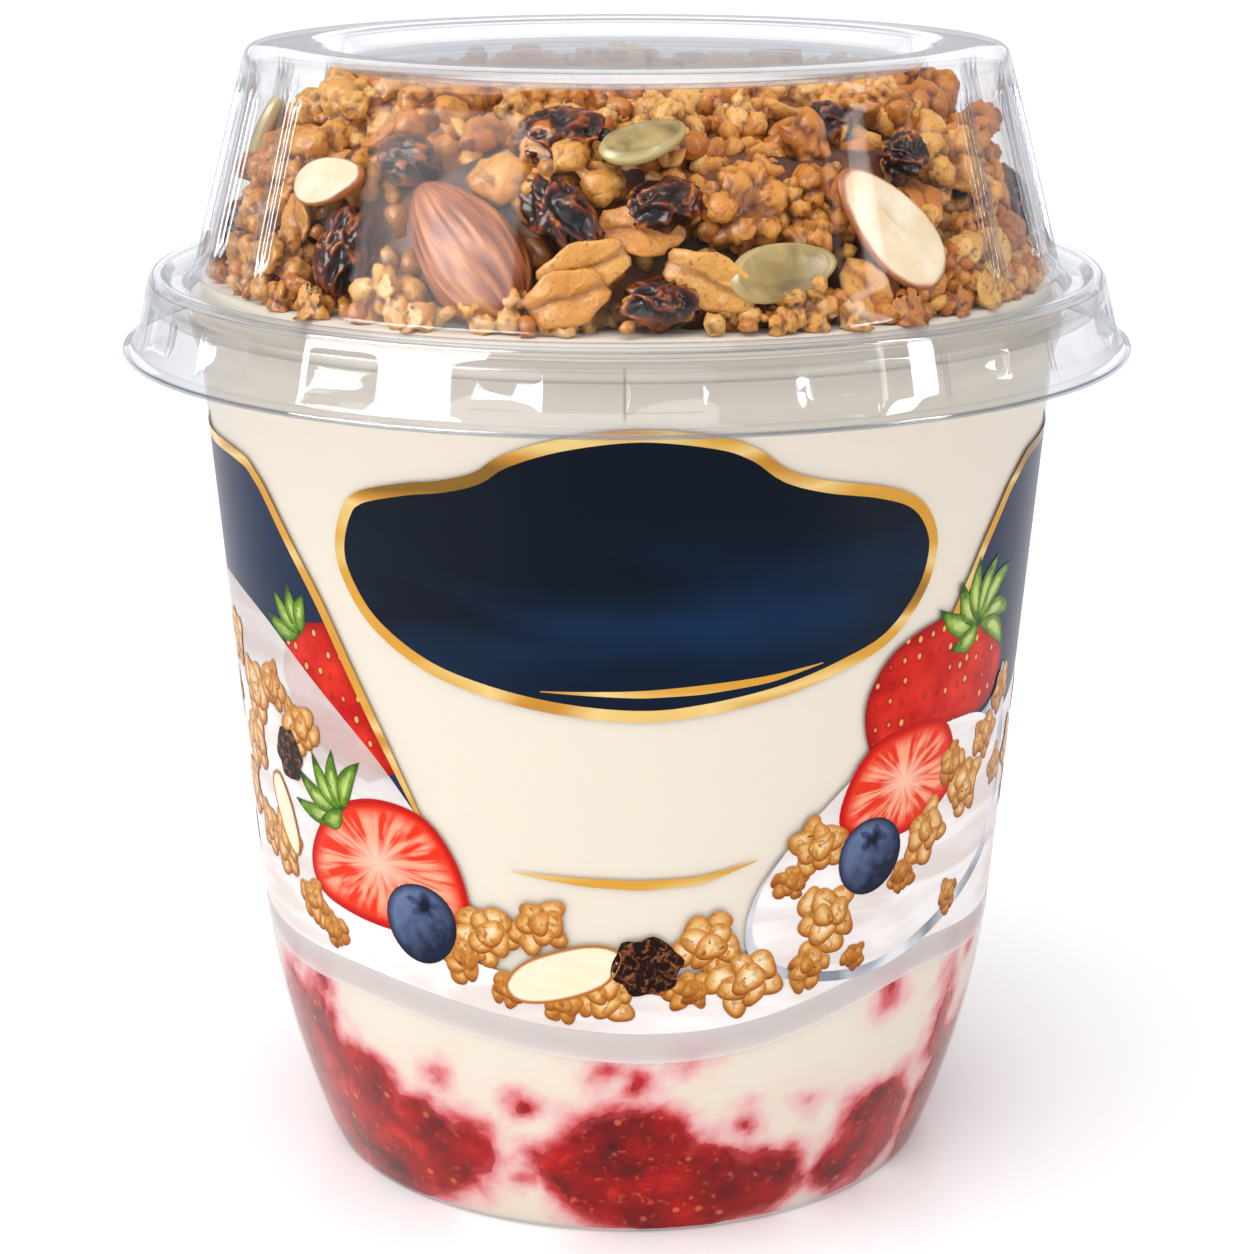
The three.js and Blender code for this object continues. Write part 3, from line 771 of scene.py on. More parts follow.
def ink(name, layer, outlines, material, spacing=1.2, turn=0.0):
    """Prints outlines on the wall, at the front and again at the back, as one piece."""
    points, faces, edge, flat = [], [], [], []
    for number, outline in enumerate(outlines):
        outline = divided(outline, spacing)
        low, high = outline.min(0), outline.max(0)
        grid = np.array([(x + 0.5 * spacing * (j % 2), y) for j,
                         y in enumerate(np.arange(low[1], high[1], spacing))
                         for x in np.arange(low[0], high[0], spacing)]).reshape(-1, 2)
        grid = grid[is_inside(grid, outline)] if len(grid) else grid
        if len(grid):
            grid = grid[outline_distance(grid, outline) > 0.35 * spacing]
        cloud = [Vector(p) for p in np.vstack([outline, grid])]
        made, _, cells, _, _, _ = geometry.delaunay_2d_cdt(cloud, [], [list(range(len(outline)))], 1, 1e-5)
        place = np.array([tuple(v) for v in made])
        centre = (low + high) / 2
        c, s = math.cos(math.radians(turn)), math.sin(math.radians(turn))
        away = place - centre
        local = np.stack([away[:, 0] * c + away[:, 1] * s, away[:, 1] * c - away[:, 0] * s], 1)
        local = local / (np.abs(local).max(0) + 1e-6)
        depth = outline_distance(place, outline)
        radius = wall_radius(place[:, 1]) + INK_LIFT + INK_STEP * layer + 0.001 * (number % 9)
        for half in (0, 180):
            base = len(points)
            points += around(np.degrees(place[:, 0] / PRINT_R) + half, radius, place[:, 1]).tolist()
            faces += [[base + k for k in cell] for cell in cells]
            edge += depth.tolist()
            flat += np.hstack([place, local]).tolist()
    piece = mesh_piece(name, points, faces, material)
    put_attribute(piece, "edge", edge)
    for k, label in enumerate(("flat_x", "flat_y", "local_x", "local_y")):
        put_attribute(piece, label, np.array(flat)[:, k])
    return keep(piece, "print")


def flat_place(tree, across=1.0, up=1.0):
    """The flat place on the label, as a vector in millimetres, for textures."""
    flat_x = add(tree, "Attribute", attribute_name="flat_x")
    flat_y = add(tree, "Attribute", attribute_name="flat_y")
    x = add(tree, "Math", {0: flat_x, 1: across}, operation="MULTIPLY")
    y = add(tree, "Math", {0: flat_y, 1: up}, operation="MULTIPLY")
    return add(tree, "CombineXYZ", {0: x, 1: y}).outputs[0]


print(f"ink lies {INK_LIFT} mm off the wall, and {INK_STEP} mm more for each layer")


# %% [markdown]
# Offset ink on polypropylene is a thin, satin, opaque film. The pictures of fruit on it are painted
# light and shade, so each ink has its own drawing: seeds on the strawberry, pale rays in the cut
# one, bloom on the berry, nubs on the oat clusters. Their scales are real millimetres on the label.

# %% Inks
def ink_material(name, paint, roughness=0.32):
    material, tree, shader = new_material(name)
    tree.links.new(paint(tree), shader.inputs["Base Color"])
    shader.inputs["Roughness"].default_value = roughness
    shader.inputs["IOR"].default_value = 1.18
    return material


def paint_gold(tree):
    place = add(tree, "TexCoord").outputs["Object"]
    long = add(tree, "Mapping", {"Vector": place, "Scale": (45, 45, 160)})
    sheen = add(tree, "TexNoise", {"Vector": long, "Scale": 1.0, "Detail": 1})
    ramp = add(tree, "ValToRGB", {0: sheen}, stops=[
        (0.3, "#8a6526"), (0.75, "#d99b38"), (0.42, "#cf9138"), (0.5, "#f0cf86"), (0.6, "#dca23f")])
    return ramp.outputs[0]


def paint_navy(tree):
    """Deep navy with a lighter wave of blue across the middle."""
    wave = add(tree, "TexNoise", {"Vector": flat_place(tree, 0.03, 0.12), "Scale": 1.0, "Detail": 2})
    height = add(tree, "Attribute", attribute_name="flat_y")
    off_middle = add(tree, "Math", {0: height, 1: 64.0}, operation="SUBTRACT")
    away = add(tree, "Math", {0: off_middle}, operation="ABSOLUTE")
    far = add(tree, "MapRange", {"Value": away, "From Min": 0, "From Max": 11})
    near = add(tree, "Math", {0: 1.0, 1: far}, operation="SUBTRACT")
    crest = add(tree, "MapRange", {"Value": wave, "From Min": 0.35, "From Max": 0.7})
    glow = add(tree, "Math", {0: near, 1: crest}, operation="MULTIPLY")
    return add(tree, "Mix", {0: glow, 6: "#04101f", 7: "#0c2b4c"}, data_type="RGBA").outputs[2]


def paint_side_navy(tree):
    """An even navy that drifts a little lighter, over about 20 mm."""
    place = add(tree, "TexCoord").outputs["Object"]
    soft = add(tree, "TexNoise", {"Vector": place, "Scale": 50})
    return add(tree, "Mix", {0: soft, 6: "#08152b", 7: "#22345a"}, data_type="RGBA").outputs[2]


print("inks: gold, navy and side navy")

# %% [markdown]
# Each picture of fruit is drawn from where a point lies on the label and how far it is from its
# outline. Distance from the outline darkens a round edge, and a cell pattern places the seeds.

# %% Fruit inks
def paint_strawberry(tree):
    """Red skin, darker at its edge, with each pale seed in a dark pit. Seeds lie about 1.6 mm apart."""
    skin = add(tree, "TexNoise", {"Vector": flat_place(tree), "Scale": 0.25, "Detail": 2})
    lit = add(tree, "MapRange", {"Value": skin, "From Min": 0.35, "From Max": 0.7})
    red = add(tree, "Mix", {0: lit, 6: "#bf0805", 7: "#ea3420"}, data_type="RGBA")
    edge = add(tree, "Attribute", attribute_name="edge")
    near_edge = add(tree, "MapRange", {"Value": edge, "From Min": 1.6, "From Max": 0})
    round_red = add(tree, "Mix", {0: near_edge, 6: red, 7: "#a00709"}, data_type="RGBA")
    seeds = add(tree, "TexVoronoi",
                {"Vector": flat_place(tree, 1.0, 0.8), "Scale": 0.62, "Randomness": 0.35}).outputs["Distance"]
    pit = add(tree, "MapRange", {"Value": seeds, "From Min": 0.34, "From Max": 0.2})
    pit_part = add(tree, "Math", {0: pit, 1: 0.55}, operation="MULTIPLY")
    pitted = add(tree, "Mix", {0: pit_part, 6: round_red, 7: "#8c0508"}, data_type="RGBA")
    seed = add(tree, "MapRange", {"Value": seeds, "From Min": 0.19, "From Max": 0.13})
    return add(tree, "Mix", {0: seed, 6: pitted, 7: "#f0b060"}, data_type="RGBA").outputs[2]


def paint_cut_strawberry(tree):
    """Red rim, pale rays and a soft pale heart. The rays are a noise read round a circle."""
    x = add(tree, "Attribute", attribute_name="local_x")
    y = add(tree, "Attribute", attribute_name="local_y")
    edge = add(tree, "Attribute", attribute_name="edge")
    angle = add(tree, "Math", {0: y, 1: x}, operation="ARCTAN2")
    x_squared = add(tree, "Math", {0: x, 1: x}, operation="MULTIPLY")
    y_squared = add(tree, "Math", {0: y, 1: y}, operation="MULTIPLY")
    out_squared = add(tree, "Math", {0: x_squared, 1: y_squared}, operation="ADD")
    out = add(tree, "Math", {0: out_squared, 1: 0.5}, operation="POWER")
    across = add(tree, "Math", {0: angle}, operation="COSINE")
    up = add(tree, "Math", {0: angle}, operation="SINE")
    drift = add(tree, "Math", {0: out, 1: 0.25}, operation="MULTIPLY")
    spokes = add(tree, "CombineXYZ", {0: across, 1: up, 2: drift})
    rays = add(tree, "TexNoise", {"Vector": spokes, "Scale": 6.5, "Detail": 2})
    ray = add(tree, "MapRange", {"Value": rays, "From Min": 0.42, "From Max": 0.6})
    inside = add(tree, "MapRange", {"Value": edge, "From Min": 0.8, "From Max": 2.2})
    pale = add(tree, "Math", {0: ray, 1: inside}, operation="MULTIPLY")
    rayed = add(tree, "Mix", {0: pale, 6: "#ea3417", 7: "#ffa886"}, data_type="RGBA")
    heart = add(tree, "MapRange", {"Value": out, "From Min": 0.42, "From Max": 0.08})
    heart_part = add(tree, "Math", {0: heart, 1: 0.75}, operation="MULTIPLY")
    flesh = add(tree, "Mix", {0: heart_part, 6: rayed, 7: "#ffd2b8"}, data_type="RGBA")
    rim = add(tree, "MapRange", {"Value": edge, "From Min": 0.9, "From Max": 0.35})
    return add(tree, "Mix", {0: rim, 6: flesh, 7: "#c40f0c"}, data_type="RGBA").outputs[2]


def paint_leaf(tree):
    """Green with a pale midrib, where the outline is farthest, and a dark edge."""
    veins = add(tree, "TexNoise", {"Vector": flat_place(tree, 0.5, 0.5), "Scale": 1.0, "Detail": 3})
    lit = add(tree, "MapRange", {"Value": veins, "From Min": 0.35, "From Max": 0.65})
    green = add(tree, "Mix", {0: lit, 6: "#4f7714", 7: "#7fa52c"}, data_type="RGBA")
    edge = add(tree, "Attribute", attribute_name="edge")
    midrib = add(tree, "MapRange", {"Value": edge, "From Min": 0.45, "From Max": 0.8})
    ribbed = add(tree, "Mix", {0: midrib, 6: green, 7: "#c3d47c"}, data_type="RGBA")
    rim = add(tree, "MapRange", {"Value": edge, "From Min": 0.3, "From Max": 0})
    return add(tree, "Mix", {0: rim, 6: ribbed, 7: "#2f5210"}, data_type="RGBA").outputs[2]


def paint_blueberry(tree):
    """Dark blue, lit from the upper left through a patchy bloom."""
    x = add(tree, "Attribute", attribute_name="local_x")
    y = add(tree, "Attribute", attribute_name="local_y")
    from_above = add(tree, "Math", {0: y, 1: 0.6}, operation="MULTIPLY")
    from_left = add(tree, "Math", {0: x, 1: 0.5}, operation="MULTIPLY")
    lit = add(tree, "Math", {0: from_above, 1: from_left}, operation="SUBTRACT")
    bloom = add(tree, "TexNoise", {"Vector": flat_place(tree), "Scale": 0.8, "Detail": 4})
    patchy = add(tree, "Math", {0: lit, 1: bloom}, operation="ADD")
    pale = add(tree, "MapRange", {"Value": patchy, "From Min": 0.0, "From Max": 1.3})
    blue = add(tree, "Mix", {0: pale, 6: "#18213a", 7: "#6f7fa8"}, data_type="RGBA")
    edge = add(tree, "Attribute", attribute_name="edge")
    rim = add(tree, "MapRange", {"Value": edge, "From Min": 0.9, "From Max": 0})
    return add(tree, "Mix", {0: rim, 6: blue, 7: "#141b30"}, data_type="RGBA").outputs[2]


print("inks: strawberry, cut strawberry, leaf and berry")

# %% [markdown]
# The oats, nuts, stirred yogurt and spoon are drawn the same way: a light from above, by the height
# within each outline, over a noise at the scale of the real grain.

# %% Oat, nut, yogurt and spoon inks
def paint_oats(tree):
    """Nubs with pale tops and brown creases, each toasted a little differently."""
    grain = add(tree, "TexNoise",
                {"Vector": flat_place(tree), "Scale": 1.1, "Detail": 4, "Distortion": 1.0})
    edge = add(tree, "Attribute", attribute_name="edge")
    y = add(tree, "Attribute", attribute_name="local_y")
    from_above = add(tree, "Math", {0: y, 1: 0.22}, operation="MULTIPLY")
    lit = add(tree, "Math", {0: edge, 1: from_above}, operation="ADD")
    light = add(tree, "MapRange", {"Value": lit, "From Min": -0.15, "From Max": 1.0})
    toasted = add(tree, "ValToRGB", {0: light}, stops=[
        (0.0, "#8a4513"), (1.0, "#fbe2b6"), (0.3, "#c67f33"), (0.6, "#e6b067")])
    brown = add(tree, "MapRange", {"Value": grain, "From Min": 0.5, "From Max": 0.7})
    return add(tree, "Mix", {0: brown, 6: toasted, 7: "#b06e29"}, data_type="RGBA").outputs[2]


def paint_almond_slice(tree):
    """Cream with a faint grain, inside a brown line of skin."""
    grain = add(tree, "TexNoise", {"Vector": flat_place(tree, 0.3, 1.0), "Scale": 1.0, "Detail": 2})
    flesh = add(tree, "Mix", {0: grain, 6: "#f6e2bb", 7: "#fdf3d9"}, data_type="RGBA")
    edge = add(tree, "Attribute", attribute_name="edge")
    skin = add(tree, "MapRange", {"Value": edge, "From Min": 0.42, "From Max": 0.2})
    return add(tree, "Mix", {0: skin, 6: flesh, 7: "#b9722c"}, data_type="RGBA").outputs[2]


def paint_raisin(tree):
    """Nearly black, with brown folds."""
    folds = add(tree, "TexNoise",
                {"Vector": flat_place(tree), "Scale": 1.3, "Detail": 3, "Distortion": 1.0})
    fold = add(tree, "MapRange", {"Value": folds, "From Min": 0.5, "From Max": 0.72})
    return add(tree, "Mix", {0: fold, 6: "#1e0b08", 7: "#9a5a36"}, data_type="RGBA").outputs[2]


def paint_cream(tree):
    """Stirred yogurt: white with soft warm-grey folds that run along the wall."""
    place = add(tree, "TexCoord").outputs["Object"]
    long = add(tree, "Mapping", {"Vector": place, "Scale": (60, 60, 300)})
    folds = add(tree, "TexNoise", {"Vector": long, "Scale": 1.0, "Detail": 2, "Distortion": 0.6})
    white = add(tree, "MapRange", {"Value": folds, "From Min": 0.4, "From Max": 0.62})
    return add(tree, "Mix", {0: white, 6: "#e9dcd6", 7: "#fdf7f4"}, data_type="RGBA").outputs[2]


def paint_spoon(tree):
    """Steel, as grey with pale patches of shine."""
    shine = add(tree, "TexNoise", {"Vector": flat_place(tree, 0.12, 0.12), "Scale": 1.0})
    pale = add(tree, "MapRange", {"Value": shine, "From Min": 0.4, "From Max": 0.62})
    return add(tree, "Mix", {0: pale, 6: "#8b8f98", 7: "#eceef2"}, data_type="RGBA").outputs[2]


def paint_stripe(tree):
    """A thin grey-pink that deepens from its edge inwards."""
    edge = add(tree, "Attribute", attribute_name="edge")
    return add(tree, "Mix", {0: edge, 6: "#eee6e5", 7: "#e4dad9"}, data_type="RGBA").outputs[2]


def paint_crown(tree):
    """The dark mouth of a berry's crown, with a paler rim."""
    edge = add(tree, "Attribute", attribute_name="edge")
    mouth = add(tree, "MapRange", {"Value": edge, "From Min": 0.1, "From Max": 0.5})
    return add(tree, "Mix", {0: mouth, 6: "#3d4a6e", 7: "#0e1424"}, data_type="RGBA").outputs[2]


print("inks: oats, almond, raisin, cream, spoon, stripe and crown")

# %% [markdown]
# Gold and steel are printed a little glossier than the rest. The veil and the stripe are thin white
# inks that let what lies under them show.

# %% The inks
gold_ink = ink_material("gold ink", paint_gold, 0.25)
navy_ink = ink_material("navy ink", paint_navy, 0.3)
side_navy_ink = ink_material("navy ink with a sheen", paint_side_navy, 0.3)
strawberry_ink = ink_material("strawberry print", paint_strawberry)
cut_ink = ink_material("cut strawberry print", paint_cut_strawberry)
leaf_ink = ink_material("leaf print", paint_leaf)
blueberry_ink = ink_material("blueberry print", paint_blueberry)
oats_ink = ink_material("oat cluster print", paint_oats)
slice_ink = ink_material("almond slice print", paint_almond_slice)
raisin_ink = ink_material("raisin print", paint_raisin)
cream_ink = ink_material("stirred yogurt print", paint_cream, 0.4)
spoon_ink = ink_material("steel spoon print", paint_spoon, 0.25)
veil_ink = ink_material("thin white ink", paint_cream, 0.4)
veil_ink.node_tree.nodes["Principled BSDF"].inputs["Alpha"].default_value = 0.6
stripe_ink = ink_material("thin grey-pink ink", paint_stripe, 0.4)
stripe_ink.node_tree.nodes["Principled BSDF"].inputs["Alpha"].default_value = 0.6
print("thin inks:", veil_ink.name, "and", stripe_ink.name)

# %% [markdown]
# First come the large fields. The badge is a wide shield with a raised crown. Navy lies on a gold
# field that is 1.2 mm larger all round, which is how the border stays even. The badge carries no
# name, only its two gold sweeps. The side panels end in a gold line that swings down and inwards.

# %% Print: badge and panels
BADGE = [(-28.1, 70), (-27, 73.6), (-25.1, 75.6), (-20.1, 77.1), (-16.2, 77.8), (-13.1, 78.8),
         (-10.6, 80.5), (-5.5, 82.3), (1.1, 83.2), (7.7, 82.4), (11.2, 81), (14, 78.9), (17.8, 77.6),
         (23, 76.5), (27.1, 75), (29.5, 72.7), (30.6, 69.6), (29.5, 65.4), (25.6, 61.2), (20.1, 59),
         (14.1, 57.3), (6.6, 56), (1.2, 55.6), (-6, 56.2), (-13.4, 57.6), (-19.3, 59.5), (-24.6, 62.9),
         (-27.4, 66.8)]
badge = through(BADGE)


def shrunk(outline, by):
    """A closed outline moved inwards, by the mean normal of its two sides."""
    ahead = np.roll(outline, -1, 0) - np.roll(outline, 1, 0)
    x, y = outline[:, 0], outline[:, 1]
    turn = np.sign(np.sum(x * np.roll(y, -1) - np.roll(x, -1) * y))
    normal = np.stack([-ahead[:, 1], ahead[:, 0]], 1) / np.linalg.norm(ahead, axis=1)[:, None]
    return outline + normal * by * turn


ink("print_badge_gold", 1, [badge], gold_ink)
ink("print_badge_navy", 2, [shrunk(badge, 1.15)], navy_ink)
ink("print_badge_sweep", 3, [ribbon([(-7.8, 58.4), (1.2, 58.3), (6.6, 58.6), (13, 59.2), (18.2, 60.2)],
                                    [0.1, 0.7, 0.9, 0.7, 0.1])], gold_ink)
ink("print_sweep", 1, [ribbon([(-11.1, 40.2), (-4.4, 39.6), (1.3, 39.3), (7, 39.6), (12.6, 41.2)],
                              [0.1, 0.8, 1.0, 0.8, 0.1])], gold_ink)
LEFT_LINE = [(-62.83, 76.2), (-54.1, 76.2), (-45.3, 76.2), (-41.2, 75.7), (-38.3, 73.6), (-31.1, 64.2),
             (-24.6, 52.2), (-19.6, 42.6)]
RIGHT_LINE = [(62.83, 76.2), (53.5, 76.2), (46.5, 75.6), (42.4, 73), (38.6, 68.5), (35, 63), (31.5, 57.5)]
line_width = [1.1] * 6 + [1.0, 0.8, 0.4]
veil_edge = eased([(-62.83, 57), (-59, 60.5), (-54, 62.6), (-45.6, 62), (-39.5, 60.1), (-31.5, 54.7),
                   (-24.8, 49.5), (-20.6, 44.2)])
left_line = eased(LEFT_LINE)
ink("print_left_panel", 1, [np.vstack([left_line, veil_edge[::-1]])], side_navy_ink)
ink("print_left_field", 1, [np.vstack([veil_edge, [(-20.6, 34), (-62.83, 33)]])], cream_ink)
right_edge = eased([(31, 46), (40, 46.6), (49, 48.8), (57, 52.6), (62.83, 57)])
ink("print_right_panel", 1, [np.vstack([eased(RIGHT_LINE), right_edge])], side_navy_ink)
ink("print_right_field", 1, [np.vstack([right_edge, [(62.83, 33), (31, 33)]])], cream_ink)
ink("print_left_line", 3, [ribbon(LEFT_LINE, line_width[:7] + [0.3])], gold_ink)
ink("print_right_line", 3, [ribbon(RIGHT_LINE, line_width[:7])], gold_ink)
print(f"the badge is {np.ptp(badge[:, 0]):.0f} by {np.ptp(badge[:, 1]):.0f} mm")

# %% [markdown]
# Then the picture that runs round the wall: a swirl of yogurt with oat clusters lying in it, fruit
# at the left, and a spoonful with fruit at the right. Each thing lies one layer above what it covers.

# %% Print: swirl, fruit and spoon
swirl_low = [(-62.83, 28), (-45.6, 26.8), (-29, 27.2), (-18.6, 26), (-8.8, 24.6), (0, 23.8), (7.5, 23.9),
             (13.8, 24.6), (24.2, 27), (31.9, 28.9), (48.2, 27.4), (62.83, 28)]
swirl_high = [(62.83, 34.5), (56, 34.5), (45, 34.5), (36, 33.5), (30, 32), (22, 31), (12, 29.4), (0, 28.4),
              (-8, 28.8), (-16, 30.4), (-24, 32.5), (-32, 33.5), (-38, 35), (-46, 36.5), (-54, 36.5),
              (-62.83, 34.5)]
swirl_low, swirl_high = eased(swirl_low), eased(swirl_high)
ink("print_stripe", 2, [np.vstack([swirl_low - (0, 3.2), swirl_low[::-1]])], stripe_ink)
ink("print_swirl", 3, [np.vstack([swirl_low, swirl_high])], cream_ink)
berry_behind_line = [(-37.2, 58.6), (-38.3, 55.4), (-36.2, 51.4), (-31.4, 48.2), (-26.4, 46.8),
                     (-22.6, 48.6), (-24.8, 52.6), (-27.9, 58.2), (-30.6, 62), (-34.6, 61.2)]
ink("print_strawberry_behind", 2, [divided(np.array(berry_behind_line), 1.0)], strawberry_ink)
ink("print_left_veil", 3,
    [np.vstack([veil_edge, [(-24, 43.4), (-31, 46), (-40, 50.5), (-49, 53.5), (-57, 55.2),
                            (-62.83, 56.7)]])], veil_ink)
berry_line = [(45.4, 55.7), (42.6, 51.3), (33.7, 50.5), (25.5, 49.6), (23.4, 52.7), (23.7, 56.6),
              (26.9, 60.4), (33.8, 62.1), (42, 59.5)]
ink("print_strawberry", 4, [through(berry_line)], strawberry_ink)
CALYX = ((7.6, 158), (6.4, 128), (7.0, 98), (7.2, 66), (8.2, 36), (7.6, -2), (8.2, -32), (5, 200))
ink("print_calyx", 5, [leaf(38.8, 60.2, length, 2.3, turn) for length, turn in CALYX], leaf_ink, 0.7)
CALYX_BEHIND = ((6.2, 172), (5.6, 140), (5.0, 108), (4.2, 78))
calyx_behind = [leaf(-34.2, 60.2, length, 2.0, turn) for length, turn in CALYX_BEHIND]
ink("print_calyx_behind", 3, calyx_behind, leaf_ink, 0.7)
spoon_bowl = through([(11.6, 33.9), (13, 30.2), (17.8, 28), (26.6, 27.1), (38, 29.9), (49, 35.4),
                      (50.2, 43.4), (47, 54), (45, 52), (40, 50), (25.6, 49.2), (18.4, 44.6), (13.3, 39)])
ink("print_spoon", 5, [spoon_bowl], spoon_ink)
spoonful = [(12.3, 34.4), (13.8, 31.2), (18, 29), (26.6, 28.2), (37, 31), (47.4, 36.3), (48.2, 43),
            (43.1, 49.6), (35.5, 51.1), (25.6, 49.8), (18.8, 45), (13.8, 39.4)]
ink("print_spoonful", 6, [through(spoonful)], cream_ink)
left_cut = [(-36.2, 37.4), (-32.4, 42.6), (-26.4, 45.2), (-20.4, 44.6), (-16.9, 40.6), (-15.6, 35.2),
            (-17.9, 33.2), (-23.8, 32), (-30.7, 32.4), (-35.4, 33.8)]
right_cut = [(35.6, 50), (36.7, 44.6), (32.1, 41.6), (26.4, 41), (21.3, 43.1), (22.1, 47.9),
             (25.4, 51.3), (32.1, 52.1)]
ink("print_cut_strawberry", 7, [through(left_cut), through(right_cut)], cut_ink, 0.9)
LEAVES = ((8.0, 184), (7.6, 158), (6.6, 128), (6.2, 98), (6.4, 62), (4, 205))
ink("print_leaves", 8, [leaf(-30.4, 43, length, 2.1, turn) for length, turn in LEAVES], leaf_ink, 0.7)
left_berry, right_berry = blob(-21.2, 33.4, 4.1, 3, 0.01, 0), blob(25.2, 39.6, 3.9, 3, 0.01, 1)
ink("print_blueberry", 10, [left_berry, right_berry], blueberry_ink, 0.9)
left_crown = blob(-20.6, 35.3, 1.25, 5, 0.3, 0.4, 1.25)
right_crown = blob(25.4, 41.3, 1.2, 5, 0.3, 1.4, 1.25)
crown_ink = ink_material("blueberry crown print", paint_crown)
ink("print_blueberry_crown", 11, [left_crown, right_crown], crown_ink, 0.5)
print("the fruit and the spoon are printed")

# %% [markdown]
# An oat cluster is nine nubs on a spiral, from its middle outwards, so that each overlaps the last.

# %% Oats, nuts and raisins in print
CLUSTERS = [(-14.1, 33.4, 3.3), (-8.6, 34.6, 2.9), (-16.6, 30.4, 2.4), (-2.4, 28.3, 3.2), (-6.2, 27.2, 2.3),
            (7.8, 33.2, 3.3), (11.4, 29, 3.7), (6, 28.2, 2.2), (18.6, 29.2, 2.4), (3.3, 29.6, 2.0),
            (-11.6, 28, 2.0), (24, 29.4, 1.5), (18.7, 41.8, 3.1), (16, 38.4, 1.9), (33, 39.9, 3.2),
            (20.6, 34.2, 3.5), (29.8, 36.4, 1.8), (39.6, 43.4, 3.2), (36.4, 46.5, 2.3), (43, 47.6, 2.6),
            (46.6, 51.4, 2.4), (38.4, 32, 1.9), (47.8, 43.2, 2.2), (-45.6, 51.8, 3.6), (-41, 53.4, 2.6),
            (-36.4, 50.2, 3.0), (-48, 45.6, 3.5), (-41.6, 36.4, 3.3), (-36.6, 31.8, 2.6), (-46, 37, 3.0),
            (-51.5, 40, 3.2), (-33.4, 29.8, 2.0), (-52, 55.5, 3.2), (-56, 49, 3.0), (-57, 33, 2.4),
            (54, 44, 3.0), (57, 38, 2.6), (60, 48, 2.6)]
nubs = []
for i, (x, y, size) in enumerate(CLUSTERS):
    for k in range(9):
        turn, reach = 2.4 * k + i, size * 0.74 * math.sqrt((8.5 - k) / 8.5)
        nubs.append(blob(x + 1.1 * reach * math.cos(turn), y + reach * math.sin(turn),
                         size * (0.36 + 0.05 * math.sin(5 * k + i)), 3, 0.08, i + k, 1.25, 50 * k + 30 * i))
ink("print_oat_clusters", 9, nubs, oats_ink, 0.9)
low_slice = [(-12.2, 28.4), (-9.9, 31.2), (-4, 33.2), (-0.6, 32.4), (-1.9, 29.2), (-6.6, 27.2), (-10.7, 26.8)]
side_slice = [(-43.6, 42.8), (-41.6, 44.2), (-39.4, 41.4), (-38.4, 37.2), (-39.6, 35.8), (-42, 38)]
ink("print_almond_slices", 12, [through(low_slice), through(side_slice)], slice_ink, 0.9)
low_raisin = blob(1.9, 31, 3.0, 6, 0.07, 0.3, 1.15)
side_raisin = blob(-38.8, 46.8, 2.7, 6, 0.07, 1.3, 0.9)
ink("print_raisins", 12, [low_raisin, side_raisin], raisin_ink, 0.9)
print(len(CLUSTERS), "oat clusters are printed")

# %% [markdown]
# Granola is rolled oats and crisped rice, baked with honey until they stick in lumps of 5 to 12 mm.
# A lump could be sculpted, but here a few dozen small balls are joined by a voxel remesh, which
# melts them together as baking does. Each point then keeps how near it is to the join between two
# balls, and its finish darkens a crease as painted shade and pales the top of a nub as painted light.
# Each prototype is used a few dozen times, turned every way, so that no two look alike.

# %% Shapes of granola
def new_mesh(name, points, faces, **values):
    """A smooth mesh from points in millimetres, with one number per point under each name."""
    mesh = bpy.data.meshes.new(name)
    mesh.from_pydata((np.asarray(points, float) * MM).tolist(), [], faces)
    mesh.shade_smooth()
    for label, numbers in values.items():
        stored = mesh.attributes.new(label, "FLOAT", "POINT").data
        stored.foreach_set("value", np.asarray(numbers, np.float32))
    return mesh


def evaluated_mesh(piece):
    """The piece's mesh with its modifiers applied."""
    bpy.context.view_layer.update()
    return bpy.data.meshes.new_from_object(piece.evaluated_get(bpy.context.evaluated_depsgraph_get()))


def mesh_arrays(mesh):
    """Points in millimetres, normals, and faces."""
    points, normals = np.empty(len(mesh.vertices) * 3), np.empty(len(mesh.vertices) * 3)
    mesh.vertices.foreach_get("co", points)
    mesh.vertex_normals.foreach_get("vector", normals)
    faces = [tuple(face.vertices) for face in mesh.polygons]
    return points.reshape(-1, 3) / MM, normals.reshape(-1, 3), faces


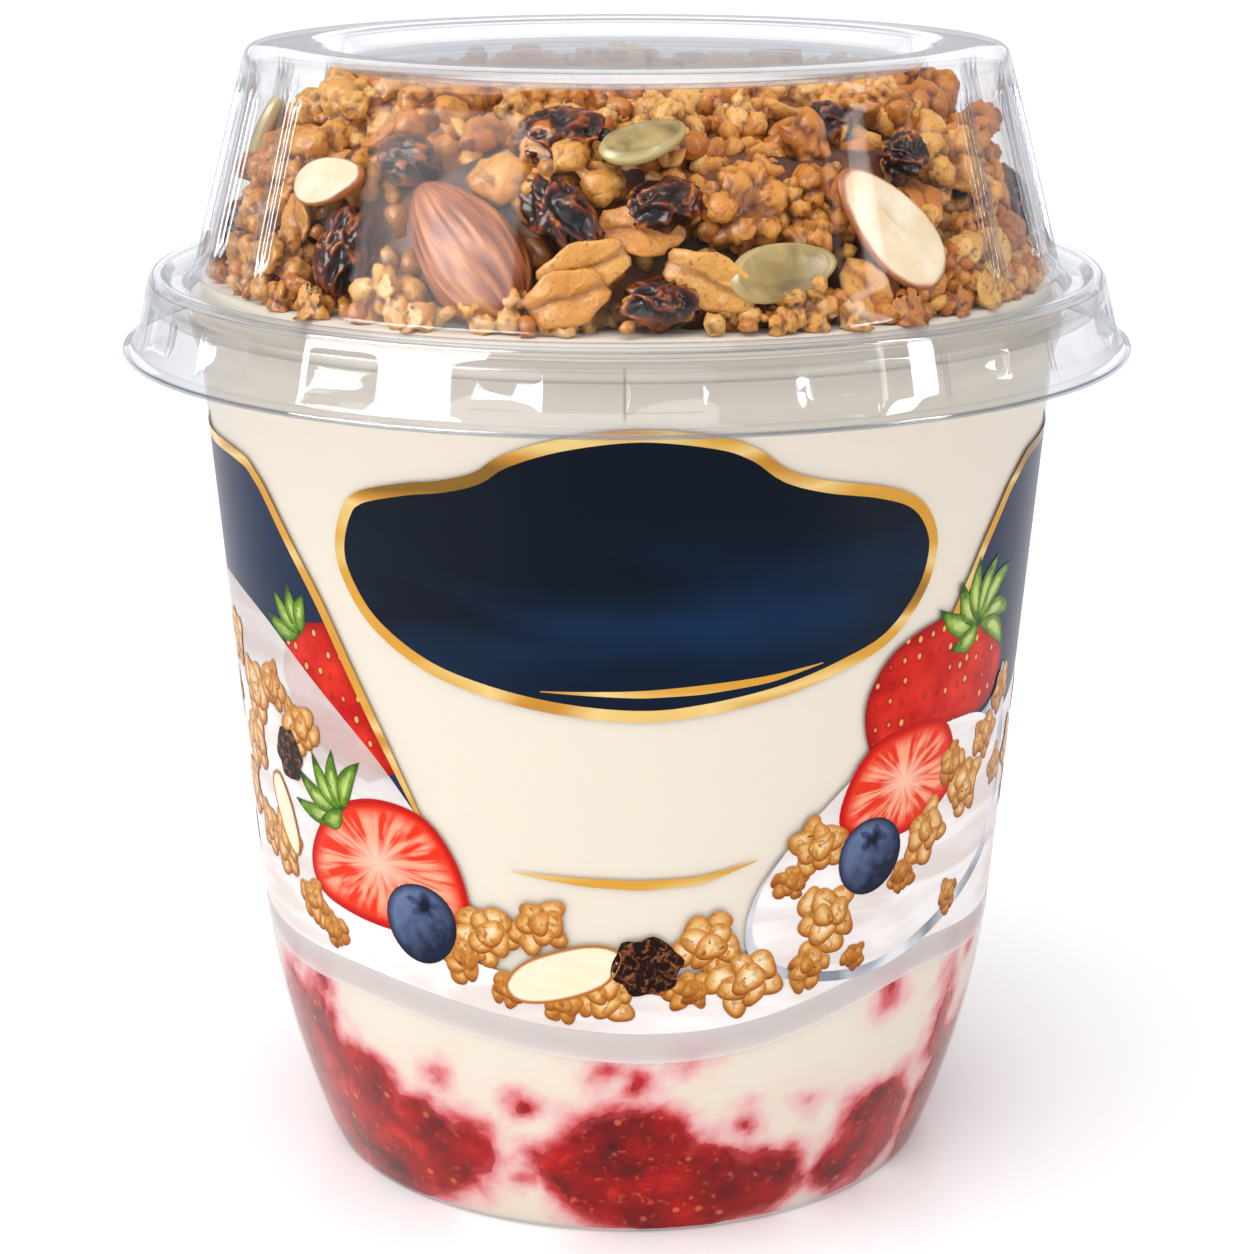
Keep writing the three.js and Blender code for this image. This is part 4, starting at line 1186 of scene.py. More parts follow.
def nub_cluster(name, nubs, voxel=0.58, grain=0.14, seed=0):
    """Melts balls (x, y, z, radius, stretch, turn) together, and marks the creases between them."""
    ball = bmesh.new()
    for x, y, z, radius, stretch, turn in nubs:
        place = Matrix.Translation(Vector((x, y, z)) * MM) @ Matrix.Rotation(turn, 4, "Z")
        place = place @ Matrix.Diagonal((radius * stretch * MM, radius * MM, radius * MM, 1))
        bmesh.ops.create_icosphere(ball, subdivisions=2, radius=1, matrix=place)
    mesh = bpy.data.meshes.new(name)
    ball.to_mesh(mesh)
    ball.free()
    piece = bpy.data.objects.new(name, mesh)
    scene.collection.objects.link(piece)
    melt = piece.modifiers.new("melt", "REMESH")
    melt.mode, melt.voxel_size, melt.use_smooth_shade = "VOXEL", voxel * MM, True
    points, normals, faces = mesh_arrays(evaluated_mesh(piece))
    bpy.data.objects.remove(piece)
    away = []
    for x, y, z, radius, stretch, turn in nubs:
        d = points - (x, y, z)
        c, s = math.cos(turn), math.sin(turn)
        u, v = (d[:, 0] * c + d[:, 1] * s) / stretch, d[:, 1] * c - d[:, 0] * s
        away.append(np.sqrt(u * u + v * v + d[:, 2] ** 2) / radius)
    away = np.sort(np.array(away), axis=0)
    top = smoothstep(0.0, 0.5, away[1] - away[0])
    shift = Vector((seed, 0, 0))
    rough = np.array([noise.noise(Vector(p) * 0.9 + shift) + 0.8 * noise.noise(Vector(p) * 2.1 + shift)
                      for p in points])
    wrinkle = np.array([abs(noise.noise(Vector(p) + shift * 2)) for p in points * (0.5, 0.9, 0.7)])
    crease = 1 - smoothstep(0.0, 0.16, wrinkle)
    points = points + normals * ((top - 0.75) * 0.5 - 0.55 * crease + grain * 2 * rough)[:, None]
    # top: pale on each nub as painted light, dark at the joins and in the noise creases as painted shade.
    top = np.clip(top * (1 - 0.75 * crease) + 0.25 * rough, 0, 1)
    return new_mesh(name, points, faces, top=top)


print("lumps are melted from balls and creased by noise")

# %% [markdown]
# Most lumps are nubs on an uneven ball. The popped ones fan their lobes out round a dimple.

# %% Lumps and rosettes
def round_lump(name, seed, size, count, nub, voxel=0.58):
    """An oat and rice lump: nubs spread evenly over an uneven ball."""
    rng = np.random.default_rng(seed)
    nubs = [(0, 0, 0, size * 0.62, 1.0, 0.0)]
    for k in range(count):
        height = 1 - 2 * (k + 0.5) / count
        turn = 2.39996 * k + rng.uniform(-0.4, 0.4)
        flat = math.sqrt(1 - height * height)
        reach = size * rng.uniform(0.62, 0.95)
        nubs.append((reach * flat * math.cos(turn) * 1.12, reach * flat * math.sin(turn),
                     reach * height * 0.85, nub * rng.uniform(0.75, 1.2), rng.uniform(1.0, 1.5),
                     turn + rng.uniform(-0.6, 0.6)))
    return nub_cluster(name, nubs, voxel=voxel, seed=seed)


def rosette(name, seed, size, lobes):
    """A popped, walnut-like lump: fat lobes that fan out from a dimple, with smaller ones under them."""
    rng = np.random.default_rng(seed)
    nubs = [(0, 0, -1.0, size * 0.55, 1.0, 0.0)]
    for k in range(lobes):
        turn = 2 * math.pi * (k + rng.uniform(-0.2, 0.2)) / lobes
        reach = size * rng.uniform(0.46, 0.58)
        nubs.append((reach * math.cos(turn), reach * math.sin(turn), rng.uniform(0.1, 0.8), size * 0.36,
                     1.3, turn))
    for k in range(lobes + 3):
        turn = 2 * math.pi * (k + rng.uniform(0, 0.5)) / (lobes + 3)
        nubs.append((size * 0.72 * math.cos(turn), size * 0.72 * math.sin(turn), -0.9 - 0.8 * (k % 2),
                     size * 0.27, 1.1, turn))
    return nub_cluster(name, nubs, seed=seed)


print("two kinds of lump: round and rosette")

# %% [markdown]
# Flakes, nut slices and seeds are all closed lenses. One function draws a lens from a rule for its
# outline and one for each side. A rolled oat is such a lens, curled and creased.

# %% Discs, oat flakes and crumbs
def disc(name, spokes, rings, outline, upper, lower):
    """A closed lens of points: outline(angle) gives x and y, upper and lower(rho, angle) give z."""
    angles = np.linspace(0, 2 * math.pi, spokes, endpoint=False)
    x, y = outline(angles)
    rhos = np.sin(np.linspace(0, math.pi / 2, rings + 1))[1:]
    points, rho_of = [(0, 0, float(upper(0, 0.0)))], [0.0]
    for rho in rhos:
        points += [(x[k] * rho, y[k] * rho, float(upper(rho, a))) for k, a in enumerate(angles)]
        rho_of += [rho] * spokes
    for rho in rhos[-2::-1]:
        points += [(x[k] * rho, y[k] * rho, float(lower(rho, a))) for k, a in enumerate(angles)]
        rho_of += [rho] * spokes
    points.append((0, 0, float(lower(0, 0.0))))
    rho_of.append(0.0)
    last, rows = len(points) - 1, 2 * rings - 1
    faces = [(0, 1 + k, 1 + (k + 1) % spokes) for k in range(spokes)]
    for row in range(rows - 1):
        a, b = 1 + row * spokes, 1 + (row + 1) * spokes
        faces += [(a + k, b + k, b + (k + 1) % spokes, a + (k + 1) % spokes) for k in range(spokes)]
    faces += [(last, 1 + (rows - 1) * spokes + (k + 1) % spokes, 1 + (rows - 1) * spokes + k)
              for k in range(spokes)]
    return new_mesh(name, points, faces, rho=rho_of)


def oat_flake(name, seed, length, width):
    """A rolled oat: an oval flake with a wavy edge, curled, and creased along its middle."""
    rng = np.random.default_rng(seed)
    lobes, shift, curl = int(rng.integers(4, 7)), rng.uniform(0, 6), rng.uniform(0.5, 1.1)

    def outline(a):
        edge = 1 + 0.07 * np.sin(lobes * a + shift) + 0.04 * np.sin((2 * lobes + 1) * a)
        return length / 2 * np.cos(a) * edge, width / 2 * np.sin(a) * edge

    def middle(rho, a):
        u, v = rho * math.cos(a), rho * math.sin(a)
        return curl * (0.9 * v * v - 0.5 * u * u) + 0.25 * math.sin(5 * u + shift)

    def thick(rho, a):
        u, v = rho * math.cos(a), rho * math.sin(a)
        crease = 0.45 * math.exp(-(v * 7) ** 2) + 0.16 * math.sin(lobes * a + 2.2 * shift)
        return (0.75 - crease * 0.8) * math.sqrt(max(0.0, 1 - rho ** 3)) + 0.14

    def upper(rho, a):
        return middle(rho, a) + thick(rho, a) * 0.8

    def lower(rho, a):
        return middle(rho, a) - thick(rho, a) * 0.8

    mesh = disc(name, 26, 6, outline, upper, lower)
    points = mesh_arrays(mesh)[0]
    u, v = points[:, 0] / (length / 2), points[:, 1] / (width / 2)
    # top: darker along the middle crease as painted shade, and darker towards the rim.
    top = np.clip(0.35 + 0.65 * smoothstep(0, 0.35, np.abs(v + 0.08 * np.sin(6 * u)))
                  - 0.35 * smoothstep(0.88, 1.02, np.hypot(u, v)), 0, 1)
    mesh.attributes.new("top", "FLOAT", "POINT").data.foreach_set("value", top.astype(np.float32))
    return mesh


def crumb(name, seed):
    """A small nub with a few dozen faces, because hundreds of them lie between the lumps."""
    points, faces = lathe([(0, -1), (0.72, -0.7), (1, 0), (0.72, 0.7), (0, 1)],
                          np.linspace(0, 360, 8, endpoint=False))
    points = np.array(points)
    bumps = np.array([noise.noise(Vector(p) * 1.3 + Vector((seed * 3.1, 0, 0))) for p in points])
    # top: paler on the crumb's bulges and darker in its dips, as painted light and shade.
    return new_mesh(name, points * (1.25, 0.95, 0.8) * (1 + 0.55 * bumps)[:, None], faces,
                    top=np.clip(0.75 + bumps, 0, 1))


print("flat shapes: a lens, an oat flake and a crumb")

# %% [markdown]
# A few prototypes of each kind are enough, because every copy has its own turn, size and baking.

# %% The prototypes
LUMP_SIZES = [(3.7, 12, 1.65), (4.1, 14, 1.7), (3.3, 10, 1.6), (3.8, 15, 1.45), (3.1, 9, 1.55),
              (4.2, 13, 1.85)]
ROSETTE_SIZES = [(4.3, 6), (3.9, 5), (4.4, 7)]
FLAKE_SIZES = [(8.4, 5.0), (7.4, 4.8), (9.0, 5.0), (6.4, 4.4)]
SMALL_SIZES = [(2.0, 8), (2.3, 9), (1.8, 7), (2.1, 10)]
lumps = [round_lump(f"lump_{i}", 11 + i, size, count, nub)
         for i, (size, count, nub) in enumerate(LUMP_SIZES)]
lumps += [rosette(f"rosette_{i}", 31 + i, size, lobes)
          for i, (size, lobes) in enumerate(ROSETTE_SIZES)]
flakes = [oat_flake(f"flake_{i}", 51 + i, length, width)
          for i, (length, width) in enumerate(FLAKE_SIZES)]
small_lumps = [round_lump(f"small_lump_{i}", 71 + i, size, count, 1.15, voxel=0.7)
               for i, (size, count) in enumerate(SMALL_SIZES)]
crumbs = [crumb(f"crumb_{i}", i) for i in range(5)]
print("faces of each lump:", [len(mesh.polygons) for mesh in lumps])

# %% [markdown]
# The pieces are scattered by Geometry Nodes. Points are spread over the heap no nearer to each other
# than a spacing, points that would cover a raisin, a nut or a seed are taken away, and a prototype
# is put on each point that is left, with its own turn, size and tone of baking. Doing this by hand
# would take hundreds of placements, and a particle system would not survive the export.

# %% The scatter tree
def scatter_tree(count, lying):
    """Scatters the pieces of a collection on a surface. lying keeps a flake's flat side outwards."""
    tree = bpy.data.node_groups.new("scatter_lying" if lying else "scatter_tumbled", "GeometryNodeTree")
    tree.is_modifier = True
    made = {}
    for name, kind in (("Geometry", "Geometry"), ("Pieces", "Collection"), ("Keep off", "Object"),
                       ("Clearance", "Float"), ("Spacing", "Float"), ("Smallest", "Float"),
                       ("Largest", "Float"), ("Seed", "Int"), ("Finish", "Material")):
        made[name] = tree.interface.new_socket(name, in_out="INPUT", socket_type="NodeSocket" + kind)
    tree.interface.new_socket("Geometry", in_out="OUTPUT", socket_type="NodeSocketGeometry")
    given = add(tree, "NodeGroupInput").outputs
    spread = add(tree, "GeometryNodeDistributePointsOnFaces",
                 {"Mesh": given["Geometry"], "Distance Min": given["Spacing"], "Density Max": 300000.0,
                  "Seed": given["Seed"]}, distribute_method="POISSON")
    covered = add(tree, "GeometryNodeObjectInfo", {"Object": given["Keep off"]}, transform_space="RELATIVE")
    near = add(tree, "GeometryNodeProximity", {0: covered.outputs["Geometry"]}, target_element="FACES")
    too_near = add(tree, "Math", {0: near.outputs["Distance"], 1: given["Clearance"]}, operation="LESS_THAN")
    kept = add(tree, "GeometryNodeDeleteGeometry", {"Geometry": spread.outputs["Points"],
                                                    "Selection": too_near})
    pieces = add(tree, "GeometryNodeCollectionInfo", {"Collection": given["Pieces"],
                                                      "Separate Children": True, "Reset Children": True})
    pick = add(tree, "FunctionNodeRandomValue", {4: 0, 5: count - 1, 8: 3}, data_type="INT")
    size = add(tree, "FunctionNodeRandomValue", {2: given["Smallest"], 3: given["Largest"], 8: 4},
               data_type="FLOAT")
    swing = 0.45 if lying else math.pi
    turn = add(tree, "FunctionNodeRandomValue", {0: (-swing, -swing, -math.pi), 1: (swing, swing, math.pi),
                                                 8: 5}, data_type="FLOAT_VECTOR")
    rotation = add(tree, "FunctionNodeRotateRotation", {0: spread.outputs["Rotation"], 1: turn},
                   rotation_space="LOCAL")
    placed = add(tree, "GeometryNodeInstanceOnPoints", {"Points": kept, "Instance": pieces,
                                                        "Pick Instance": True, "Instance Index": pick,
                                                        "Rotation": rotation, "Scale": size.outputs[1]})
    tone = add(tree, "FunctionNodeRandomValue", {2: 0.0, 3: 1.0, 8: 6}, data_type="FLOAT")
    toned = add(tree, "GeometryNodeStoreNamedAttribute", {"Geometry": placed, "Name": "tone",
                                                          3: tone.outputs[1]}, data_type="FLOAT",
                domain="INSTANCE")
    real = add(tree, "GeometryNodeRealizeInstances", {0: toned})
    finish = add(tree, "GeometryNodeSetMaterial", {"Geometry": real, "Material": given["Finish"]})
    add(tree, "NodeGroupOutput", {0: finish})
    return tree, {name: socket.identifier for name, socket in made.items()}


def scattered(surface, prototypes, finish, keep_off, lying, clearance, spacing, smallest, largest, seed):
    """The realised mesh of prototypes scattered on a surface. Sizes are in millimetres."""
    box = bpy.data.collections.new("prototypes")
    for number, mesh in enumerate(prototypes):
        box.objects.link(bpy.data.objects.new(f"p{number}", mesh))
    tree, sockets = scatter_tree(len(prototypes), lying)
    points, faces = surface
    holder = bpy.data.objects.new("holder", new_mesh("holder", points, faces))
    scene.collection.objects.link(holder)
    nodes = holder.modifiers.new("scatter", "NODES")
    nodes.node_group = tree
    for name, value in (("Pieces", box), ("Keep off", keep_off), ("Clearance", clearance * MM),
                        ("Spacing", spacing * MM), ("Smallest", smallest), ("Largest", largest),
                        ("Seed", seed), ("Finish", finish)):
        nodes[sockets[name]] = value
    mesh = evaluated_mesh(holder)
    for item in list(box.objects) + [holder]:
        bpy.data.objects.remove(item)
    bpy.data.collections.remove(box)
    return mesh


print("the scatter tree lays flakes flat and tumbles lumps")


# %% [markdown]
# Baked oats are matt and mealy with patches of set syrup. The tone of a whole piece runs from toasted
# brown to pale gold. Within it the creases are darkened to caramel as painted shade, the nubs are
# paled as painted light, and bran shows as specks of a quarter of a millimetre. Points deep in the
# heap are darkened as painted shade. A thin coat stands for the syrup's gleam.

# %% Granola finishes
granola_finish, tree, shader = new_material("baked oats and syrup")
place = add(tree, "TexCoord").outputs["Object"]
mottle = add(tree, "TexNoise", {"Vector": place, "Scale": 420, "Detail": 4, "Roughness": 0.6})
baking = add(tree, "Attribute", attribute_name="tone")
baking_part = add(tree, "Math", {0: baking, 1: 0.62}, operation="MULTIPLY")
mottle_part = add(tree, "Math", {0: mottle, 1: 0.42}, operation="MULTIPLY")
tone = add(tree, "Math", {0: baking_part, 1: mottle_part}, operation="ADD")
baked = add(tree, "ValToRGB", {0: tone}, stops=[
    (0.1, "#b8631d"), (0.92, "#fbcf86"), (0.32, "#d2822e"), (0.52, "#e3983f"), (0.72, "#efb059")])
# Creases are mixed towards dark caramel as painted shade, and the nub tops keep the baked colour as painted
# light.
top = add(tree, "Attribute", attribute_name="top")
nub = add(tree, "MapRange", {"Value": top, "From Min": 0.0, "From Max": 0.75})
creased = add(tree, "Mix", {0: nub, 6: "#6e2c04", 7: baked}, data_type="RGBA")
bran = add(tree, "TexNoise", {"Vector": place, "Scale": 2600, "Detail": 2})
speck = add(tree, "MapRange", {"Value": bran, "From Min": 0.58, "From Max": 0.72})
speck_part = add(tree, "Math", {0: speck, 1: 0.6}, operation="MULTIPLY")
specked = add(tree, "Mix", {0: speck_part, 6: creased, 7: "#8a4a18"}, data_type="RGBA")
# Points deep in the heap are mixed towards dark brown: painted shade in the gaps.
deep = add(tree, "Attribute", attribute_name="deep")
painted_gap_shade = add(tree, "Math", {0: deep, 1: 0.62}, operation="MULTIPLY")
shaded = add(tree, "Mix", {0: painted_gap_shade, 6: specked, 7: "#471b05"}, data_type="RGBA")
tree.links.new(shaded.outputs[2], shader.inputs["Base Color"])
shader.inputs["Roughness"].default_value = 0.45
shader.inputs["Specular IOR Level"].default_value = 0.3
shader.inputs["Coat Weight"].default_value = 0.16
shader.inputs["Coat Roughness"].default_value = 0.18
mealy = add(tree, "TexNoise", {"Vector": place, "Scale": 800, "Detail": 4, "Distortion": 0.8})
bump = add(tree, "Bump", {"Strength": 0.6, "Distance": 0.0006, "Height": mealy})
tree.links.new(bump.outputs[0], shader.inputs["Normal"])

core_finish, tree, shader = new_material("shaded oats under the heap")
place = add(tree, "TexCoord").outputs["Object"]
mottle = add(tree, "TexNoise", {"Vector": place, "Scale": 300, "Detail": 4})
lit = add(tree, "MapRange", {"Value": mottle, "From Min": 0.35, "From Max": 0.7})
# The core's dark browns are painted shade: it shows only as the dark between the lumps.
oats = add(tree, "Mix", {0: lit, 6: "#3b1602", 7: "#8a4c1c"}, data_type="RGBA")
tree.links.new(oats.outputs[2], shader.inputs["Base Color"])
shader.inputs["Roughness"].default_value = 0.6
print("finishes:", granola_finish.name, "and", core_finish.name)

# %% [markdown]
# The heap has a core that nobody sees except as the dark between the lumps, so it is only a rough
# turned solid. Its outline, and every outer limit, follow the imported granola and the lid's inside.

# %% Granola pieces
heap_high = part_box("granola")[1]
HEAP_TOP = heap_high.z / MM
HEAP_FOOT = YOGURT_Z + 0.1
HEAP = [(41.9, HEAP_FOOT + 0.2), (40.9, 94.5), (39.8, 97.2), (38.5, 99.8), (36.8, 102.4), (34.2, 105),
        (30.4, 107.4), (22, 109.2), (0, HEAP_TOP)]
lid_wall = [(r, z) for r, z in lid_inside if z > 91.0 and r > 36]
LID_CLEAR = 0.75


def heap_surface(depth, foot):
    """The heap's outline, lowered and drawn in by a depth, as points and faces."""
    line = [(max(0.0, r - depth), min(z, HEAP_TOP - depth * 0.7)) for r, z in HEAP if z > foot]
    line = [(line[0][0], foot)] + line
    line[-1] = (0, line[-1][1])
    return lathe(spaced(line, 3.0, 0, 200), np.linspace(0, 360, 48, endpoint=False))


print("the heap rises from", HEAP_FOOT, "to", round(HEAP_TOP, 1), "mm")

# %% [markdown]
# Nothing may poke through the lid, so points that would are pressed back inside it. The core comes
# first, because the looser pieces lie on it.

# %% Keeping inside the lid, and the core
def held_inside(points):
    """Presses points that would pass through the lid or into the yogurt back inside."""
    radius = np.hypot(points[:, 0], points[:, 1])
    heights = [z for r, z in sorted(lid_wall, key=lambda p: p[1])]
    radii = [r for r, z in sorted(lid_wall, key=lambda p: p[1])]
    limit = np.interp(points[:, 2], heights, radii) - LID_CLEAR
    scale = np.minimum(1, limit / np.maximum(radius, 1e-6))
    moved = points * np.stack([scale, scale, np.ones_like(scale)], 1)
    moved[:, 2] = np.clip(moved[:, 2], YOGURT_Z + 0.02, HEAP_TOP + 1.0)
    return moved


def set_points(mesh, points):
    mesh.vertices.foreach_set("co", (points * MM).ravel())
    mesh.update()


points, faces = lathe(spaced([(0, HEAP_FOOT), (36.5, HEAP_FOOT), (36, 95), (34.5, 100), (32, 104.3),
                              (27, 106.2), (0, 106.6)], 1.6, 0, 200),
                      np.linspace(0, 360, 120, endpoint=False))
rough = np.array([noise.noise(Vector(p) * 0.33) + 0.5 * noise.noise(Vector(p) * 0.9) for p in points])
core = mesh_piece("granola_core", held_inside(pushed(points, faces, rough * 1.2)), faces, core_finish)
keep(core, "granola", "granola")
print(f"the core lies inside a radius of {np.hypot(*points_of(core)[:, :2].T).max():.1f} mm")

# %% [markdown]
# Most pieces are scattered, but the ones at the very front are listed one by one. Each is placed
# by its azimuth and height on the heap, so it keeps lying on the surface.

# %% Pieces placed one by one
TOPPING_KINDS = ("almond_", "almond_slice_", "pumpkin_seed_", "raisin_")
toppings = sorted(name for name in frame["nodes"] if name.startswith(TOPPING_KINDS))
# Pieces placed one by one at the front: kind, number, azimuth, height, depth, size, roll and tip in degrees.
PLACED = [("lump", 6, 17.2, 102.3, 1.2, 1.0, 10, 12), ("flake", 0, 1.7, 100.6, 1.6, 0.95, -4, 10),
          ("flake", 2, -5.6, 97.2, 0.9, 0.95, 22, 24), ("flake", 1, -7.6, 94.6, 0.8, 1.05, 18, 14),
          ("flake", 2, 10.9, 96.1, 1.0, 1.0, -26, 30), ("lump", 7, 23.4, 93.6, 1.4, 0.85, 0, 0),
          ("lump", 7, 8.8, 103.8, 2.6, 0.8, 60, 10), ("lump", 7, -17.2, 93.8, 1.8, 0.85, 30, 0),
          ("lump", 1, -11.4, 105.4, 2.6, 1.15, 0, 0), ("lump", 8, 20.0, 107.0, 3.4, 1.1, 0, -20),
          ("lump", 0, 62, 104.8, 2.2, 1.1, 0, 0), ("lump", 3, -62, 104.4, 2.4, 1.1, 20, 0),
          ("flake", 3, 33, 94.4, 1.6, 1.0, -60, 10), ("lump", 4, -33, 93.6, 2.0, 0.9, 40, 0),
          ("lump", 2, -57, 95.2, 2.2, 1.0, 10, 0)]


def heap_frame(azimuth, height, depth):
    """A place under the heap's surface, with its axes along the azimuth, up the slope, and outwards."""
    line = sorted(HEAP, key=lambda p: p[1])
    zs, rs = [z for r, z in line], [r for r, z in line]
    radius = np.interp(height, zs, rs)
    slope = (np.interp(height + 0.4, zs, rs) - np.interp(height - 0.4, zs, rs)) / 0.8
    turn = math.radians(azimuth)
    out = Vector((math.sin(turn), -math.cos(turn), max(0.0, -slope))).normalized()
    across = Vector((math.cos(turn), math.sin(turn), 0))
    up = out.cross(across)
    place = Vector((radius * math.sin(turn), -radius * math.cos(turn), height)) - out * depth
    return Matrix((across, up, out)).transposed(), place


def heap_depth(points):
    """How far each point lies under the heap's outline, in millimetres."""
    line = sorted(HEAP, key=lambda p: p[1])
    radius = np.hypot(points[:, 0], points[:, 1])
    from_side = np.interp(points[:, 2], [z for r, z in line], [r for r, z in line]) - radius
    from_top = np.interp(radius, [r for r, z in line[::-1]], [z for r, z in line[::-1]]) - points[:, 2]
    return np.minimum(from_side, from_top)


by_hand = {"lump": [], "flake": []}
for kind, number, azimuth, height, depth, scale, roll, tip in PLACED:
    axes, place = heap_frame(azimuth, height, depth)
    spin = axes @ Matrix.Rotation(math.radians(roll), 3, "Z") @ Matrix.Rotation(math.radians(tip), 3, "X")
    by_hand[kind].append((lumps[number] if kind == "lump" else flakes[number], spin, place, scale))

print(len(PLACED), "pieces are placed by hand")

# %% [markdown]
# Scattered pieces keep off the toppings and off what is placed one by one. Both are gathered in one
# hidden mesh that the scatter tree measures its clearance from.

# %% What the scatter keeps off
shields = bmesh.new()
for name in toppings:
    shields.from_mesh(frame["nodes"][name].data)
for kind, settings in by_hand.items():
    for mesh, spin, place, scale in settings:
        bmesh.ops.create_icosphere(shields, subdivisions=2, radius=(2.0 if kind == "lump" else 1.2) * MM,
                                   matrix=Matrix.Translation(place * MM))
shield_mesh = bpy.data.meshes.new("keep_off")
shields.to_mesh(shield_mesh)
shields.free()
keep_off = bpy.data.objects.new("keep_off", shield_mesh)
scene.collection.objects.link(keep_off)


print("the scatter keeps off", len(toppings), "toppings")

# %% [markdown]
# Each kind of granola becomes one piece. Its points keep how deep they lie under the heap's surface,
# and the finish darkens the deeper points with that, as painted shade in the gaps.

# %% The scattered granola
def granola_piece(name, parts, extra):
    """Joins scattered meshes and pieces placed one by one into one piece, inside the lid."""
    joined = bmesh.new()
    for mesh in parts:
        joined.from_mesh(mesh)
    for number, (source, spin, place, scale) in enumerate(extra):
        copy = source.copy()
        copy.transform(Matrix.Translation(place * MM) @ spin.to_4x4() @ Matrix.Scale(scale, 4))
        copy.attributes.new("tone", "FLOAT", "POINT").data.foreach_set(
            "value", np.full(len(copy.vertices), 0.45 + 0.4 * ((number * 0.618) % 1), np.float32))
        joined.from_mesh(copy)
    mesh = bpy.data.meshes.new(name)
    joined.to_mesh(mesh)
    joined.free()
    mesh.shade_smooth()
    mesh.materials.clear()
    mesh.materials.append(granola_finish)
    for polygon in mesh.polygons:
        polygon.material_index = 0
    points = held_inside(mesh_arrays(mesh)[0])
    set_points(mesh, points)
    piece = bpy.data.objects.new(name, mesh)
    scene.collection.objects.link(piece)
    # How deep each point lies, which the finish turns into painted shade.
    put_attribute(piece, "deep", smoothstep(1.0, 5.0, heap_depth(points)))
    return keep(piece, "granola")


print("each kind of granola is made on its own")

# %% [markdown]
# The large lumps come first and lie widest apart. The smaller kinds fill in between them, deeper
# down, and a ring of small ones closes the foot of the heap, where it meets the yogurt.

# %% Scattering each kind
foot_line = [(35, HEAP_FOOT + 0.9), (41.3, HEAP_FOOT + 0.9), (41.0, 93.0), (39, 94.2)]
foot_ring = lathe(foot_line, np.linspace(0, 360, 72, endpoint=False))
shared = {"finish": granola_finish, "keep_off": keep_off}
loose = scattered(heap_surface(3.7, 93.4), lumps[:6], lying=False, clearance=3.1, spacing=8.0,
                  smallest=0.8, largest=1.15, seed=4, **shared)
granola_piece("granola_lumps", [loose], by_hand["lump"])
loose = scattered(heap_surface(3.3, 93.2), lumps[6:], lying=True, clearance=3.1, spacing=8.6,
                  smallest=0.7, largest=1.05, seed=7, **shared)
granola_piece("granola_rosettes", [loose], [])
loose = scattered(heap_surface(1.7, 92.5), flakes, lying=True, clearance=1.7, spacing=7.4,
                  smallest=0.65, largest=1.0, seed=9, **shared)
granola_piece("granola_flakes", [loose], by_hand["flake"])
loose = scattered(heap_surface(2.5, 92.8), small_lumps, lying=False, clearance=1.9, spacing=4.9,
                  smallest=0.75, largest=1.2, seed=12, **shared)
at_foot = scattered(foot_ring, small_lumps, lying=False, clearance=1.2, spacing=3.9,
                    smallest=0.6, largest=0.95, seed=13, **shared)
granola_piece("granola_small_lumps", [loose, at_foot], [])
loose = scattered(heap_surface(3.0, 92.0), crumbs, lying=False, clearance=0.9, spacing=4.3,
                  smallest=0.8, largest=1.3, seed=2, **shared)
deeper = scattered(heap_surface(4.6, 92.5), crumbs, lying=False, clearance=0.2, spacing=2.5,
                   smallest=1.1, largest=1.7, seed=6, **shared)
at_foot = scattered(foot_ring, crumbs, lying=False, clearance=0.8, spacing=2.0,
                    smallest=0.7, largest=1.15, seed=5, **shared)
granola_piece("granola_crumbs", [loose, deeper, at_foot], [])
print("the heap is covered")

# %% [markdown]
# Raisins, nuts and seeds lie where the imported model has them. Each takes the place, the size and the
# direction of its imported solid, from that solid's own points: their spread gives the long, the middle
# and the short axis. The detail comes from a shape drawn once in a unit box.

# %% Laying a topping
def topping_axes(node):
    """Centre, half sizes and axes of a packed topping. The last axis points out of the heap."""
    values = np.empty(len(frame["nodes"][node].data.vertices) * 3)
    frame["nodes"][node].data.vertices.foreach_get("co", values)
    points = np.unique(np.round(values.reshape(-1, 3) / MM, 3), axis=0)
    centre = (points.max(0) + points.min(0)) / 2
    _, _, axes = np.linalg.svd(points - points.mean(0), full_matrices=False)
    along, out = axes[0], axes[2]
    away = centre - (0, 0, 96)
    if out @ away < 0:
        out = -out
    if along[2] < 0:
        along = -along
    across = np.cross(out, along)
    axes = np.array([along, across, out])
    reach = (points - centre) @ axes.T
    return centre, (reach.max(0) - reach.min(0)) / 2, axes


def lay(name, mesh_of, nodes, slot, material):
    """Makes one piece of a shape laid on each node. mesh_of(number) gives unit points, faces, numbers."""
    points, faces, marks = [], [], []
    for number, node in enumerate(nodes):
        centre, half, axes = topping_axes(node)
        unit, cells, mark = mesh_of(number)
        base = len(points)
        points += (centre + (unit * half) @ axes).tolist()
        faces += [tuple(base + k for k in cell) for cell in cells]
        marks += list(mark)
    piece = mesh_piece(name, points, faces, material)
    put_attribute(piece, "mark", marks)
    return keep(piece, slot, *nodes)


def unit_ball(detail):
    """A ball of radius 1."""
    ball = bmesh.new()
    bmesh.ops.create_icosphere(ball, subdivisions=detail, radius=1)
    points = np.array([v.co[:] for v in ball.verts])
    faces = [tuple(v.index for v in face.verts) for face in ball.faces]
    ball.free()
    return points, faces


print("each topping lies on its packed solid")

